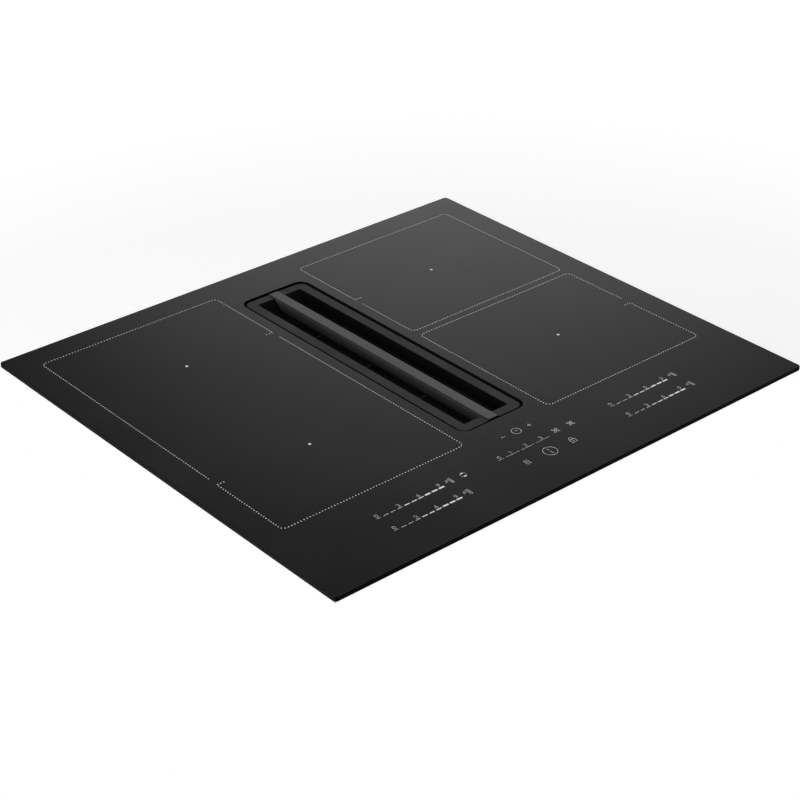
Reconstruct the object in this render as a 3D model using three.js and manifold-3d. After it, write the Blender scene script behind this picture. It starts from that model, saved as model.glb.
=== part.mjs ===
/**
 * Downdraft induction cooktop: a glass hob with a vent down its middle and the fan case below.
 *
 * Millimetres, +X to the right, +Y to the back, +Z up. The origin lies under the centre of the
 * glass, in the plane that the fan case stands on.
 */
import * as THREE from 'three';
import { mergeVertices } from 'three/addons/utils/BufferGeometryUtils.js';
import Module from 'manifold-3d';

const wasm = await Module();
wasm.setup();

// ---------------------------------------------------------------- driving dimensions

// Fits shared by many pieces
const RUNNING_GAP = 0.3;
const ASSEMBLY_GAP = 0.5;
const CORNER_STEPS = 3;

// Glass
const TOTAL_HEIGHT = 210;
const GLASS_WIDTH = 590;
const GLASS_DEPTH = 520;
const GLASS_THICKNESS = 4;
const GLASS_CORNER_RADIUS = 4;
const GLASS_EDGE_CHAMFER = 0.5;
const ZONE_BACK_MARGIN = 30.8;
const CONTROL_STRIP_DEPTH = 107.3;

// Vent cut-out in the glass
const VENT_WIDTH = 82.5;
const VENT_CORNER_RADIUS = 11;
const VENT_FRONT_MARGIN = 15.35;
const VENT_BACK_MARGIN = 24.55;

// Bonds and seals under the glass
const BOND_THICKNESS = 2;
const BOND_WIDTH = 6;
const WORKTOP_SEAL_WIDTH = 6;
const WORKTOP_SEAL_INSET = 3;

// Grille: a cast channel frame and the bar across it
const GRILLE_GAP = 2.6;
const GRILLE_BORDER = 10.7;
const GRILLE_SINK = 1;
const GRILLE_DEPTH = 15;
const GRILLE_PLATE = 2.5;
const GRILLE_WALL = 2.2;
const GRILLE_END_SLOPE = 4;
const BAR_TOP_WIDTH = 11.4;
const BAR_CHAMFER = 1.2;
const BAR_KEEL_WIDTH = 1.6;
const BAR_DEPTH = 15.7;
const BAR_END_INSET = 0.8;
const BAR_TONGUE = 4;
const BAR_TONGUE_LENGTH = 4.5;

// Suction well
const WELL_WALL = 2;
const WELL_FLANGE = 2;
const WELL_FLANGE_WIDTH = 12;
const WELL_RIM_STEP = 3.3;
const WELL_SPIGOT = 3;

// Grease filter
const FILTER_RIM = 1.2;
const FILTER_WALL = 1.5;
const FILTER_FLOOR_DEPTH = 46;
const FILTER_PACK = 7;
const FILTER_PLEAT_PITCH = 10;
const FILTER_PLEAT_DEPTH = 3;
const FILTER_LIP = 3;
const FILTER_RIB_END_MARGIN = 30.1;
const FILTER_RIB_COUNT = 4;
const FILTER_RIB_HEIGHT = 3;
const FILTER_RIB_WIDTH = 2.4;

// Spill tray under the filter
const SPILL_TRAY_HEIGHT = 24;
const SPILL_TRAY_WALL = 1.8;
const SPILL_TRAY_FIT = 3.5;
const SPILL_TRAY_RADIUS = 8;

// Sheet-steel hob tray
const SHEET = 1;
const TRAY_OVERHANG = 18;
const TRAY_DEPTH = 52;
const TRAY_FLANGE = 8;
const TRAY_CORNER_RADIUS = 6;
const EXHAUST_SLOT_WIDTH = 4;
const EXHAUST_SLOT_HEIGHT = 24;
const EXHAUST_SLOT_PITCH = 14;
const EXHAUST_SLOT_COUNT = 8;
const INLET_SLOT_WIDTH = 3.5;
const INLET_SLOT_PITCH = 8.5;
const INLET_SLOT_COUNT = 7;

// Coils and what carries them
const BAY_WELL_MARGIN = 2;
const BAY_WALL_MARGIN = 11.25;
const COIL_MARGIN = 5.5;
const COIL_HOLE_RADIUS = 20;
const INSULATION_THICKNESS = 1;
const WINDING_THICKNESS = 4;
const WINDING_RIM = 4;
const WINDING_TURNS = 2;
const WINDING_GROOVE = 1.2;
const CARRIER_THICKNESS = 2;
const FERRITE_THICKNESS = 5;
const FERRITE_WIDTH = 10;
const FERRITE_COUNT = 6;
const SENSOR_RADIUS = 6;
const COIL_PLATE_THICKNESS = 1;
const PILLAR_RADIUS = 4;
const PILLAR_INSET = 9;

// Power electronics
const BOARD_THICKNESS = 1.6;
const BOARD_STANDOFF = 6;
const BOARD_SIDE_MARGIN = 18;
const BOARD_END_MARGIN = 18;
const BOARD_SPACER_RADIUS = 3;
const BOARD_SPACER_INSET = 8;
const CEILING_GAP = 6;
const PARTS_GAP = 6;
const HEAT_SINK_WIDTH = 60;
const HEAT_SINK_LENGTH = 180;
const HEAT_SINK_BASE = 4;
const HEAT_SINK_FIN = 2;
const HEAT_SINK_FIN_COUNT = 9;
const CAPACITOR_RADIUS = 11;
const CHOKE_RADIUS = 16;
const RELAY_WIDTH = 20;
const RELAY_LENGTH = 28;
const RELAY_HEIGHT = 16;

// Cooling fans on the tray floor
const COOLER_SIZE = 80;
const COOLER_HEIGHT = 20;
const COOLER_WALL_GAP = 11;
const COOLER_RIM = 1.5;
const COOLER_TIP_GAP = 2;
const COOLER_HUB_RADIUS = 16;
const COOLER_HUB_PLATE = 3;
const COOLER_PIN_RADIUS = 2;
const COOLER_BLADE_COUNT = 7;
const COOLER_BLADE_PITCH = 38;
const COOLER_BLADE_THICKNESS = 1.6;
const COOLER_STRUT = 3;

// Touch control
const CONTROL_WIDTH = 428;
const CONTROL_FRONT_MARGIN = 15;
const CONTROL_BACK_MARGIN = 1.5;
const CONTROL_HEIGHT = 7;
const CONTROL_WALL = 2;
const CONTROL_CELL_COUNT = 5;
const CONTROL_PILLAR_X = 60;
const TOUCH_SPRING_RADIUS = 3.5;

// Fan case
const CASE_WALL = 3;
const CASE_LEFT = -150;
const CASE_END_MARGIN = 3;
const CASE_CORNER_RADIUS = 22;
const CASE_FLANGE = 6;
const CASE_FLANGE_THICKNESS = 3;
const LOWER_CASE_HEIGHT = 84;
const INLET_PLATE = 3;
const CASE_LUG_RADIUS = 6.5;
const CASE_LUG_HEIGHT = 9;
const CASE_RIB_PITCH = 56;
const CASE_RIB_WIDTH = 2.5;
const CASE_RIB_DEPTH = 2;
const CASE_GRID_COLUMNS = 4;
const CASE_GRID_ROWS = 3;
const CASE_GRID_RIB = 5;
const CASE_POCKET_DEPTH = 1.2;

// Centrifugal fan
const EYE_LIP = 6;
const EYE_SPILL_GAP = 7;
const BELL_DEPTH = 10;
const BELL_WALL = 2;
const IMPELLER_RADIUS = 85;
const IMPELLER_BLADE_LENGTH = 17;
const IMPELLER_BLADE_THICKNESS = 1.4;
const IMPELLER_BLADE_SWEEP = 12;
const IMPELLER_BLADE_COUNT = 24;
const IMPELLER_PLATE = 2;
const IMPELLER_RING_WIDTH = 6;
const IMPELLER_RING_HEIGHT = 4;
const IMPELLER_FLOOR_GAP = 10;
const IMPELLER_TOP_GAP = 1;
const VOLUTE_CLEARANCE = 6;
const VOLUTE_GROWTH = 37;
const VOLUTE_TONGUE_ANGLE = 50;
const VOLUTE_END_ANGLE = 350;
const VOLUTE_STEPS = 18;
const MOTOR_RADIUS = 37;
const MOTOR_HEIGHT = 42;
const MOTOR_BASE_RADIUS = 44;
const MOTOR_BASE = 4;
const MOTOR_SHAFT_RADIUS = 4;
const MOTOR_SHAFT_SEAT = 17;
const HUB_WALL = 2;
const HUB_GAP = 3;
const HUB_BOSS_RADIUS = 9;

// Duct outlet
const OUTLET_WIDTH = 150;
const OUTLET_HEIGHT = 70;
const OUTLET_WALL = 2;
const OUTLET_LENGTH = 30;
const OUTLET_RADIUS = 6;
const OUTLET_FLANGE = 3;
const OUTLET_FLANGE_WIDTH = 3;
const OUTLET_BEAD = 1.5;
const OUTLET_BEAD_WIDTH = 3;

// Mains connection
const TERMINAL_BOX_WIDTH = 96;
const TERMINAL_BOX_DEPTH = 84;
const TERMINAL_BOX_HEIGHT = 32;
const TERMINAL_BOX_WALL = 2;
const TERMINAL_BOX_BACK_MARGIN = 48;
const TERMINAL_COVER = 2;
const TERMINAL_BLOCK_WIDTH = 66;
const TERMINAL_BLOCK_DEPTH = 24;
const TERMINAL_BLOCK_HEIGHT = 18;
const TERMINAL_POLES = 6;
const GLAND_RADIUS = 10;
const GLAND_BORE_RADIUS = 6.5;
const GLAND_NUT_RADIUS = 14;
const GLAND_NUT = 6;
const GLAND_DOME = 14;

// Worktop springs
const SPRING_WIDTH = 26;
const SPRING_THICKNESS = 0.8;
const SPRING_HEIGHT = 34;
const SPRING_BOW = 7;
const SPRING_TOP_GAP = 6;
const SPRING_SPREAD = 150;

// Screws
const SCREW_HEAD_RADIUS = 3.5;
const SCREW_HEAD = 2.2;
const SCREW_RADIUS = 1.5;

// ---------------------------------------------------------------- finishes

const FINISH = {
  glass: { color: 0x17181a, roughness: 0.3, metalness: 0 },
  castGrille: { color: 0x2c2d30, roughness: 0.45, metalness: 0.6 },
  barTop: { color: 0x4a4b4e, roughness: 0.4, metalness: 0.8 },
  blackPlastic: { color: 0x16171a, roughness: 0.6, metalness: 0 },
  greyPlastic: { color: 0x55585c, roughness: 0.6, metalness: 0 },
  zincSteel: { color: 0xa9adb0, roughness: 0.4, metalness: 0.9 },
  springSteel: { color: 0xb9bcbf, roughness: 0.3, metalness: 1 },
  aluminium: { color: 0xc4c7ca, roughness: 0.4, metalness: 0.9 },
  filterAluminium: { color: 0x6f7276, roughness: 0.5, metalness: 0.8 },
  copper: { color: 0xb06a3c, roughness: 0.45, metalness: 0.9 },
  ferrite: { color: 0x2a2b2c, roughness: 0.7, metalness: 0.1 },
  mica: { color: 0xd8d2c0, roughness: 0.8, metalness: 0 },
  board: { color: 0x1d5b38, roughness: 0.55, metalness: 0 },
  silicone: { color: 0x1c1c1d, roughness: 0.9, metalness: 0 },
  foam: { color: 0x232324, roughness: 1, metalness: 0 },
};

// ---------------------------------------------------------------- shape helpers

const AXIS_X = new THREE.Vector3(1, 0, 0);
const AXIS_Y = new THREE.Vector3(0, 1, 0);
const AXIS_Z = new THREE.Vector3(0, 0, 1);

/** A rectangle in plan: half sizes, corner radius and centre. */
function area(halfX, halfY, radius = 0, x = 0, y = 0) {
  return { halfX, halfY, radius, x, y };
}

/** The rectangle that spans two pairs of edges. */
function span(left, right, front, back, radius = 0) {
  return area((right - left) / 2, (back - front) / 2, radius, (left + right) / 2, (front + back) / 2);
}

/** The same rectangle moved out by a distance on every side, or in where it is negative. */
function grow(base, by) {
  const radius = base.radius > 0 ? Math.max(base.radius + by, 0.5) : 0;
  return { ...base, halfX: base.halfX + by, halfY: base.halfY + by, radius };
}

/** The same rectangle on the left of the middle where the sign is negative. */
function mirrored(base, sign) {
  return { ...base, x: base.x * sign };
}

/** Corner points of a rectangle, anticlockwise, with its corners rounded in equal steps. */
function corners({ halfX, halfY, radius, x, y }, steps = CORNER_STEPS) {
  const points = [];
  for (let corner = 0; corner < 4; corner += 1) {
    const signX = corner === 0 || corner === 3 ? 1 : -1;
    const signY = corner < 2 ? 1 : -1;
    const count = radius > 0 ? steps : 0;
    for (let step = 0; step <= count; step += 1) {
      const angle = (corner + (count ? step / count : 0)) * Math.PI / 2;
      points.push(new THREE.Vector2(
        x + signX * (halfX - radius) + radius * Math.cos(angle),
        y + signY * (halfY - radius) + radius * Math.sin(angle),
      ));
    }
  }
  return points;
}

/** A flat-faced solid over a rectangle, with other rectangles cut through it. */
function plate(base, bottom, top, ...holes) {
  const shape = new THREE.Shape(corners(base));
  shape.holes = holes.map((hole) => new THREE.Path(corners(hole)));
  const solid = new THREE.ExtrudeGeometry(shape, { depth: top - bottom, bevelEnabled: false });
  return solid.translate(0, 0, bottom);
}

/** A section drawn as [a, b] pairs and drawn out along an axis: b is height on x and y. */
function prism(section, axis, from, to) {
  const shape = new THREE.Shape(section.map(([a, b]) => new THREE.Vector2(a, b)));
  const solid = new THREE.ExtrudeGeometry(shape, { depth: to - from, bevelEnabled: false });
  const turn = new THREE.Matrix4();
  if (axis === 'x') {
    turn.makeBasis(AXIS_Y, AXIS_Z, AXIS_X).setPosition(from, 0, 0);
  } else if (axis === 'y') {
    turn.makeBasis(AXIS_X, AXIS_Z, AXIS_Y.clone().negate()).setPosition(0, to, 0);
  } else {
    turn.setPosition(0, 0, from);
  }
  return solid.applyMatrix4(turn);
}

/** A closed [radius, height] profile turned about a vertical axis. */
function revolve(profile, segments, x = 0, y = 0) {
  const points = profile.map(([radius, height]) => new THREE.Vector2(radius, height));
  if (THREE.ShapeUtils.area(points) < 0) {
    points.reverse();
  }
  const onAxis = points.findIndex((point, index) => {
    const before = points[(index + points.length - 1) % points.length];
    return point.x === 0 && before.x === 0;
  });
  const start = Math.max(onAxis, 0);
  const ordered = [...points.slice(start), ...points.slice(0, start)];
  if (onAxis < 0) {
    ordered.push(ordered[0].clone());
  }
  return new THREE.LatheGeometry(ordered, segments).rotateX(Math.PI / 2).translate(x, y, 0);
}

/** A vertical round bar. */
function rod(radius, bottom, top, segments, x = 0, y = 0) {
  return revolve([[0, bottom], [radius, bottom], [radius, top], [0, top]], segments, x, y);
}

/** A vertical tube. */
function tube(outer, inner, bottom, top, segments, x = 0, y = 0) {
  return revolve([[inner, bottom], [outer, bottom], [outer, top], [inner, top]], segments, x, y);
}

/** The closed body of a geometry, for joining and cutting. */
function toSolid(geometry) {
  const bare = geometry.clone();
  bare.deleteAttribute('normal');
  bare.deleteAttribute('uv');
  const merged = mergeVertices(bare, 1e-4);
  const whole = [];
  for (let i = 0; i < merged.index.count; i += 3) {
    const [a, b, c] = [0, 1, 2].map((corner) => merged.index.getX(i + corner));
    if (a !== b && b !== c && c !== a) {
      whole.push(a, b, c);
    }
  }
  return new wasm.Manifold(new wasm.Mesh({
    numProp: 3,
    vertProperties: merged.attributes.position.array,
    triVerts: new Uint32Array(whole),
  }));
}

/** The faces of a closed body. */
function toGeometry(solid) {
  const mesh = solid.getMesh();
  const geometry = new THREE.BufferGeometry();
  geometry.setAttribute('position', new THREE.BufferAttribute(mesh.vertProperties, 3));
  geometry.setIndex(new THREE.BufferAttribute(mesh.triVerts, 1));
  return geometry;
}

/** One body from several that meet or overlap. */
function join(...geometries) {
  return toGeometry(geometries.map(toSolid).reduce((whole, next) => whole.add(next)));
}

/** A body with others cut out of it. */
function carve(body, ...tools) {
  return toGeometry(tools.map(toSolid).reduce((whole, tool) => whole.subtract(tool), toSolid(body)));
}

/** What two bodies have in common. */
function common(first, second) {
  return toGeometry(toSolid(first).intersect(toSolid(second)));
}

/** Every whole number from 0 up to a count. */
function range(count) {
  return Array.from({ length: count }, (_, index) => index);
}

// ---------------------------------------------------------------- shared levels and plans

const SIDES = [{ side: 'left', sign: -1 }, { side: 'right', sign: 1 }];

const glassUnder = TOTAL_HEIGHT - GLASS_THICKNESS;
const bondUnder = glassUnder - BOND_THICKNESS;
const trayUnder = bondUnder - TRAY_DEPTH;
const trayFloor = trayUnder + SHEET;

const glassArea = area(GLASS_WIDTH / 2, GLASS_DEPTH / 2, GLASS_CORNER_RADIUS);
const trayArea = { ...grow(glassArea, -TRAY_OVERHANG), radius: TRAY_CORNER_RADIUS };
const trayInside = grow(trayArea, -SHEET);

const zoneFront = CONTROL_STRIP_DEPTH - GLASS_DEPTH / 2;
const zoneBack = GLASS_DEPTH / 2 - ZONE_BACK_MARGIN;

const vent = span(
  -VENT_WIDTH / 2,
  VENT_WIDTH / 2,
  zoneFront + VENT_FRONT_MARGIN,
  zoneBack - VENT_BACK_MARGIN,
  VENT_CORNER_RADIUS,
);
const grilleArea = grow(vent, -GRILLE_GAP);
const grilleOpening = { ...grow(grilleArea, -GRILLE_BORDER), radius: 0 };
const grilleTop = TOTAL_HEIGHT - GRILLE_SINK;
const grilleSeat = grilleTop - GRILLE_DEPTH;

const wellBore = grow(grilleArea, ASSEMBLY_GAP);
const rimArea = grow(grilleArea, -GRILLE_WALL - ASSEMBLY_GAP);
const rimPocket = grow(rimArea, ASSEMBLY_GAP);
const rimSeat = grilleSeat - FILTER_RIM;
const wellThroat = grow(rimArea, -WELL_RIM_STEP);
const wellOuter = grow(wellThroat, WELL_WALL);
const wellFlangeArea = grow(vent, WELL_FLANGE_WIDTH);
const wellHole = grow(wellOuter, ASSEMBLY_GAP);
const wellEnd = trayUnder - CASE_WALL - WELL_SPIGOT;

const bayInner = wellFlangeArea.halfX + BAY_WELL_MARGIN;
const bayOuter = trayInside.halfX - BAY_WALL_MARGIN;
const coilX = (bayInner + bayOuter) / 2;
const coilCell = Math.min(bayOuter - bayInner, (zoneBack - zoneFront) / 2) / 2;
const coilRadius = coilCell - COIL_MARGIN;
const coilRows = [
  { row: 'back', y: zoneFront + (zoneBack - zoneFront) * 0.75 },
  { row: 'front', y: zoneFront + (zoneBack - zoneFront) * 0.25 },
];
const windingTop = glassUnder - INSULATION_THICKNESS;
const carrierTop = windingTop - WINDING_THICKNESS;
const ferriteTop = carrierTop - CARRIER_THICKNESS;
const coilPlateTop = ferriteTop - FERRITE_THICKNESS;
const coilPlateUnder = coilPlateTop - COIL_PLATE_THICKNESS;

const coolerX = coilX;
const coolerY = COOLER_WALL_GAP + COOLER_SIZE / 2 - trayInside.halfY;
const boardFront = coolerY + COOLER_SIZE / 2 + BOARD_END_MARGIN;
const boardBack = zoneBack - BOARD_END_MARGIN;
const boardUnder = trayFloor + BOARD_STANDOFF;
const boardTop = boardUnder + BOARD_THICKNESS;
const coilPlateArea = span(bayInner, bayOuter, zoneFront, zoneBack, GLASS_CORNER_RADIUS);
const boardArea = span(
  bayInner + BOARD_SIDE_MARGIN,
  bayOuter - BOARD_SIDE_MARGIN,
  boardFront,
  boardBack,
);
const partsCeiling = coilPlateUnder - CEILING_GAP;

const controlArea = span(
  -CONTROL_WIDTH / 2,
  CONTROL_WIDTH / 2,
  CONTROL_FRONT_MARGIN - trayInside.halfY,
  zoneFront - CONTROL_BACK_MARGIN,
);
const controlUnder = glassUnder - CONTROL_HEIGHT;
const controlBoardUnder = controlUnder - BOARD_THICKNESS;

const spillArea = { ...grow(wellThroat, -SPILL_TRAY_FIT), radius: SPILL_TRAY_RADIUS };
const lowerInsideTop = LOWER_CASE_HEIGHT - INLET_PLATE;
const bladeInner = IMPELLER_RADIUS - IMPELLER_BLADE_LENGTH;
const eyeRadius = bladeInner;
const impellerX = spillArea.halfX + EYE_SPILL_GAP + eyeRadius + BELL_WALL + EYE_LIP;
const voluteStart = IMPELLER_RADIUS + VOLUTE_CLEARANCE;
const voluteEnd = voluteStart + VOLUTE_GROWTH;
const caseRight = impellerX + voluteEnd + CASE_WALL;
const caseArea = span(
  CASE_LEFT,
  caseRight,
  vent.y - vent.halfY - CASE_END_MARGIN,
  vent.y + vent.halfY + CASE_END_MARGIN,
  CASE_CORNER_RADIUS,
);
const caseInside = grow(caseArea, -CASE_WALL);
const caseFront = caseArea.y - caseArea.halfY;
const caseBack = caseArea.y + caseArea.halfY;
const impellerY = caseFront + 2 * CASE_WALL + voluteRadius(270);
const outletX = caseRight - OUTLET_FLANGE_WIDTH - OUTLET_WIDTH / 2;
const outletZ = (CASE_WALL + lowerInsideTop) / 2;

/** Inner radius of the volute at an angle in degrees, growing evenly in ratio from its tongue. */
function voluteRadius(angle) {
  const share = (angle - VOLUTE_TONGUE_ANGLE) / (360 - VOLUTE_TONGUE_ANGLE);
  return voluteStart * (voluteEnd / voluteStart) ** share;
}

// ---------------------------------------------------------------- the assembly

const cooktop = new THREE.Group();

/** Adds a piece under its name, with a finish of its own. */
function add(name, geometry, finish) {
  const mesh = new THREE.Mesh(geometry, new THREE.MeshStandardMaterial(finish));
  mesh.name = name;
  cooktop.add(mesh);
}

/** A pan-head screw that points up, its head below the given level. */
function screw(x, y, headTop, length, segments = 6) {
  const foot = headTop - SCREW_HEAD;
  const tip = headTop + length;
  return revolve([
    [0, foot],
    [SCREW_HEAD_RADIUS - 1, foot],
    [SCREW_HEAD_RADIUS, foot + 1],
    [SCREW_HEAD_RADIUS, headTop],
    [SCREW_RADIUS, headTop],
    [SCREW_RADIUS, tip],
    [0, tip],
  ], segments, x, y);
}

// Glass and its bonds
{
  const shape = new THREE.Shape(corners(glassArea));
  shape.holes = [new THREE.Path(corners(vent, 5))];
  const glass = new THREE.ExtrudeGeometry(shape, {
    depth: GLASS_THICKNESS - 2 * GLASS_EDGE_CHAMFER,
    bevelSegments: 1,
    bevelSize: GLASS_EDGE_CHAMFER,
    bevelThickness: GLASS_EDGE_CHAMFER,
    bevelOffset: -GLASS_EDGE_CHAMFER,
  });
  add('glass_top', glass.translate(0, 0, glassUnder + GLASS_EDGE_CHAMFER), FINISH.glass);

  const sealOuter = grow(glassArea, -WORKTOP_SEAL_INSET);
  const seal = plate(sealOuter, bondUnder, glassUnder, grow(sealOuter, -WORKTOP_SEAL_WIDTH));
  add('worktop_seal', seal, FINISH.foam);

  const flangeArea = grow(trayArea, TRAY_FLANGE);
  const trayBond = plate(grow(flangeArea, -1), bondUnder, glassUnder, grow(flangeArea, -1 - BOND_WIDTH));
  add('tray_bond', trayBond, FINISH.silicone);

  const wellBondOuter = grow(wellFlangeArea, -1);
  const wellBond = plate(wellBondOuter, bondUnder, glassUnder, grow(wellBondOuter, -BOND_WIDTH));
  add('well_bond', wellBond, FINISH.silicone);
}

// Grille frame: an open-bottomed cast channel round the opening, its end walls leaning in
{
  const endTop = grilleOpening.halfY;
  const endFoot = endTop - GRILLE_END_SLOPE;
  const opening = prism([
    [vent.y - endTop, grilleTop + 1],
    [vent.y - endTop, grilleTop],
    [vent.y - endFoot, grilleSeat],
    [vent.y - endFoot, grilleSeat - 1],
    [vent.y + endFoot, grilleSeat - 1],
    [vent.y + endFoot, grilleSeat],
    [vent.y + endTop, grilleTop],
    [vent.y + endTop, grilleTop + 1],
  ], 'x', -grilleOpening.halfX, grilleOpening.halfX);
  const channel = plate(
    grow(grilleArea, -GRILLE_WALL),
    grilleSeat - 1,
    grilleTop - GRILLE_PLATE,
    grow(grilleOpening, GRILLE_WALL),
  );
  const tongueY = vent.halfY - GRILLE_GAP - GRILLE_BORDER / 2;
  const tongueHoles = [-1, 1].map((end) => plate(
    area(BAR_TONGUE / 2 + RUNNING_GAP, BAR_TONGUE / 2 + RUNNING_GAP, 0, 0, vent.y + end * tongueY),
    grilleSeat,
    grilleTop + 1,
  ));
  const block = plate(grilleArea, grilleSeat, grilleTop);
  add('grille_frame', carve(block, opening, channel, ...tongueHoles), FINISH.castGrille);

  // Grille bar: a wedge with its keel down, capped over the frame's end borders
  const barTop = TOTAL_HEIGHT;
  const halfTop = BAR_TOP_WIDTH / 2;
  const wedge = prism([
    [-halfTop, barTop],
    [-halfTop - BAR_CHAMFER, barTop - BAR_CHAMFER],
    [-BAR_KEEL_WIDTH / 2, barTop - BAR_DEPTH],
    [BAR_KEEL_WIDTH / 2, barTop - BAR_DEPTH],
    [halfTop + BAR_CHAMFER, barTop - BAR_CHAMFER],
    [halfTop, barTop],
  ], 'y', vent.y - vent.halfY, vent.y + vent.halfY);
  const capEnd = grilleArea.halfY - BAR_END_INSET;
  const wedgeTop = endTop - ASSEMBLY_GAP;
  const slope = GRILLE_END_SLOPE / GRILLE_DEPTH;
  const wedgeFoot = wedgeTop - slope * (grilleTop - (barTop - BAR_DEPTH));
  const sideView = prism([
    [vent.y - capEnd, barTop],
    [vent.y - capEnd, grilleTop],
    [vent.y - wedgeTop, grilleTop],
    [vent.y - wedgeFoot, barTop - BAR_DEPTH],
    [vent.y + wedgeFoot, barTop - BAR_DEPTH],
    [vent.y + wedgeTop, grilleTop],
    [vent.y + capEnd, grilleTop],
    [vent.y + capEnd, barTop],
  ], 'x', -VENT_WIDTH / 2, VENT_WIDTH / 2);
  const tongues = [-1, 1].map((end) => plate(
    area(BAR_TONGUE / 2, BAR_TONGUE / 2, 0, 0, vent.y + end * tongueY),
    grilleTop - BAR_TONGUE_LENGTH,
    barTop - GRILLE_SINK / 2,
  ));
  add('grille_bar', join(common(wedge, sideView), ...tongues), FINISH.barTop);
}

// Suction well: a moulded sleeve with a shelf for the grille and one below it for the filter rim
{
  const outside = join(
    plate(wellFlangeArea, bondUnder - WELL_FLANGE, bondUnder),
    plate(grow(wellBore, WELL_WALL), rimSeat - WELL_WALL, bondUnder),
    plate(wellOuter, wellEnd, rimSeat),
  );
  const inside = [
    plate(wellBore, grilleSeat, bondUnder + 1),
    plate(rimPocket, rimSeat, grilleSeat + 1),
    plate(wellThroat, wellEnd - 1, grilleSeat),
  ];
  add('suction_well', carve(outside, ...inside), FINISH.blackPlastic);
}

// Grease filter: a cassette with a rim, plain walls, ribs over a pleated pack and a base that holds it
{
  const floorTop = TOTAL_HEIGHT - FILTER_FLOOR_DEPTH;
  const packUnder = floorTop - FILTER_PACK;
  const mouth = grow(grilleOpening, -RUNNING_GAP);
  const inner = { ...mouth, halfY: grilleOpening.halfY - GRILLE_END_SLOPE + RUNNING_GAP };
  const walls = grow({ ...inner, radius: 2 }, FILTER_WALL);
  const filterUnder = packUnder - RUNNING_GAP - FILTER_WALL;
  const ribReach = inner.halfY - FILTER_RIB_END_MARGIN;
  const ribs = range(FILTER_RIB_COUNT).map((index) => {
    const y = vent.y + (2 * index / (FILTER_RIB_COUNT - 1) - 1) * ribReach;
    return plate(
      area(inner.halfX + FILTER_WALL / 2, FILTER_RIB_WIDTH / 2, 0, 0, y),
      floorTop + RUNNING_GAP,
      floorTop + RUNNING_GAP + FILTER_RIB_HEIGHT,
    );
  });
  const baseTop = filterUnder + FILTER_WALL;
  const frame = join(
    plate(rimArea, rimSeat, grilleSeat, inner),
    plate(walls, baseTop, grilleSeat, inner),
    ...ribs,
  );
  add('filter_frame', frame, FINISH.filterAluminium);
  add('filter_base', plate(walls, filterUnder, baseTop, grow(inner, -FILTER_LIP)), FINISH.filterAluminium);

  const packArea = grow(inner, -RUNNING_GAP);
  const front = packArea.y - packArea.halfY;
  const back = packArea.y + packArea.halfY;
  const pleatCount = Math.floor(2 * packArea.halfY / FILTER_PLEAT_PITCH);
  const pitch = (back - front) / pleatCount;
  const pleats = range(2 * pleatCount + 1).map((index) => [
    front + index * pitch / 2,
    index % 2 ? packUnder + FILTER_PLEAT_DEPTH : packUnder,
  ]);
  const pack = prism([[front, floorTop], ...pleats, [back, floorTop]], 'x', -packArea.halfX, packArea.halfX);
  add('filter_pack', pack, FINISH.filterAluminium);
}

// Spill tray: lifts out through the well once the filter is out
{
  const top = LOWER_CASE_HEIGHT + SPILL_TRAY_HEIGHT;
  const body = plate(spillArea, LOWER_CASE_HEIGHT, top);
  const hollow = plate(grow(spillArea, -SPILL_TRAY_WALL), LOWER_CASE_HEIGHT + SPILL_TRAY_WALL, top + 1);
  const gripBar = plate(
    area(spillArea.halfX - SPILL_TRAY_WALL / 2, SPILL_TRAY_WALL / 2, 0, 0, spillArea.y),
    top - SPILL_TRAY_HEIGHT / 3,
    top,
  );
  add('spill_tray', join(carve(body, hollow), gripBar), FINISH.greyPlastic);
}

/** Hexagonal stand-offs from the tray floor up at the four corners of a rectangle, set in from its edges. */
function cornerPosts(base, inset, radius, top) {
  return [[-1, -1], [-1, 1], [1, -1], [1, 1]].map(([endX, endY]) => rod(
    radius,
    trayFloor,
    top,
    6,
    base.x + endX * (base.halfX - inset),
    base.y + endY * (base.halfY - inset),
  ));
}

// Hob tray: folded sheet with fan inlets in its floor and exhaust slots in its rear wall
{
  const flange = plate(grow(trayArea, TRAY_FLANGE), bondUnder - SHEET, bondUnder, trayInside);
  const box = plate(trayArea, trayUnder, bondUnder);
  const inlets = SIDES.flatMap(({ sign }) => range(INLET_SLOT_COUNT).map((index) => {
    const offset = (index - (INLET_SLOT_COUNT - 1) / 2) * INLET_SLOT_PITCH;
    const reach = COOLER_SIZE / 2 - COOLER_RIM - INLET_SLOT_WIDTH;
    const half = Math.sqrt(Math.max(reach ** 2 - offset ** 2, INLET_SLOT_WIDTH ** 2));
    return plate(
      area(INLET_SLOT_WIDTH / 2, half, 0, sign * coolerX + offset, coolerY),
      trayUnder - 1,
      trayFloor + 1,
    );
  }));
  const exhaustTop = bondUnder - (TRAY_DEPTH - EXHAUST_SLOT_HEIGHT) / 2;
  const exhausts = SIDES.flatMap(({ sign }) => range(EXHAUST_SLOT_COUNT).map((index) => plate(
    area(
      EXHAUST_SLOT_WIDTH / 2,
      4 * SHEET,
      0,
      sign * coilX + (index - (EXHAUST_SLOT_COUNT - 1) / 2) * EXHAUST_SLOT_PITCH,
      trayArea.halfY,
    ),
    exhaustTop - EXHAUST_SLOT_HEIGHT,
    exhaustTop,
  )));
  const tray = carve(
    join(box, flange),
    plate(trayInside, trayFloor, bondUnder + 1),
    plate(wellHole, trayUnder - 1, trayFloor + 1),
    ...inlets,
    ...exhausts,
  );
  add('hob_tray', tray, FINISH.zincSteel);
}

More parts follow.
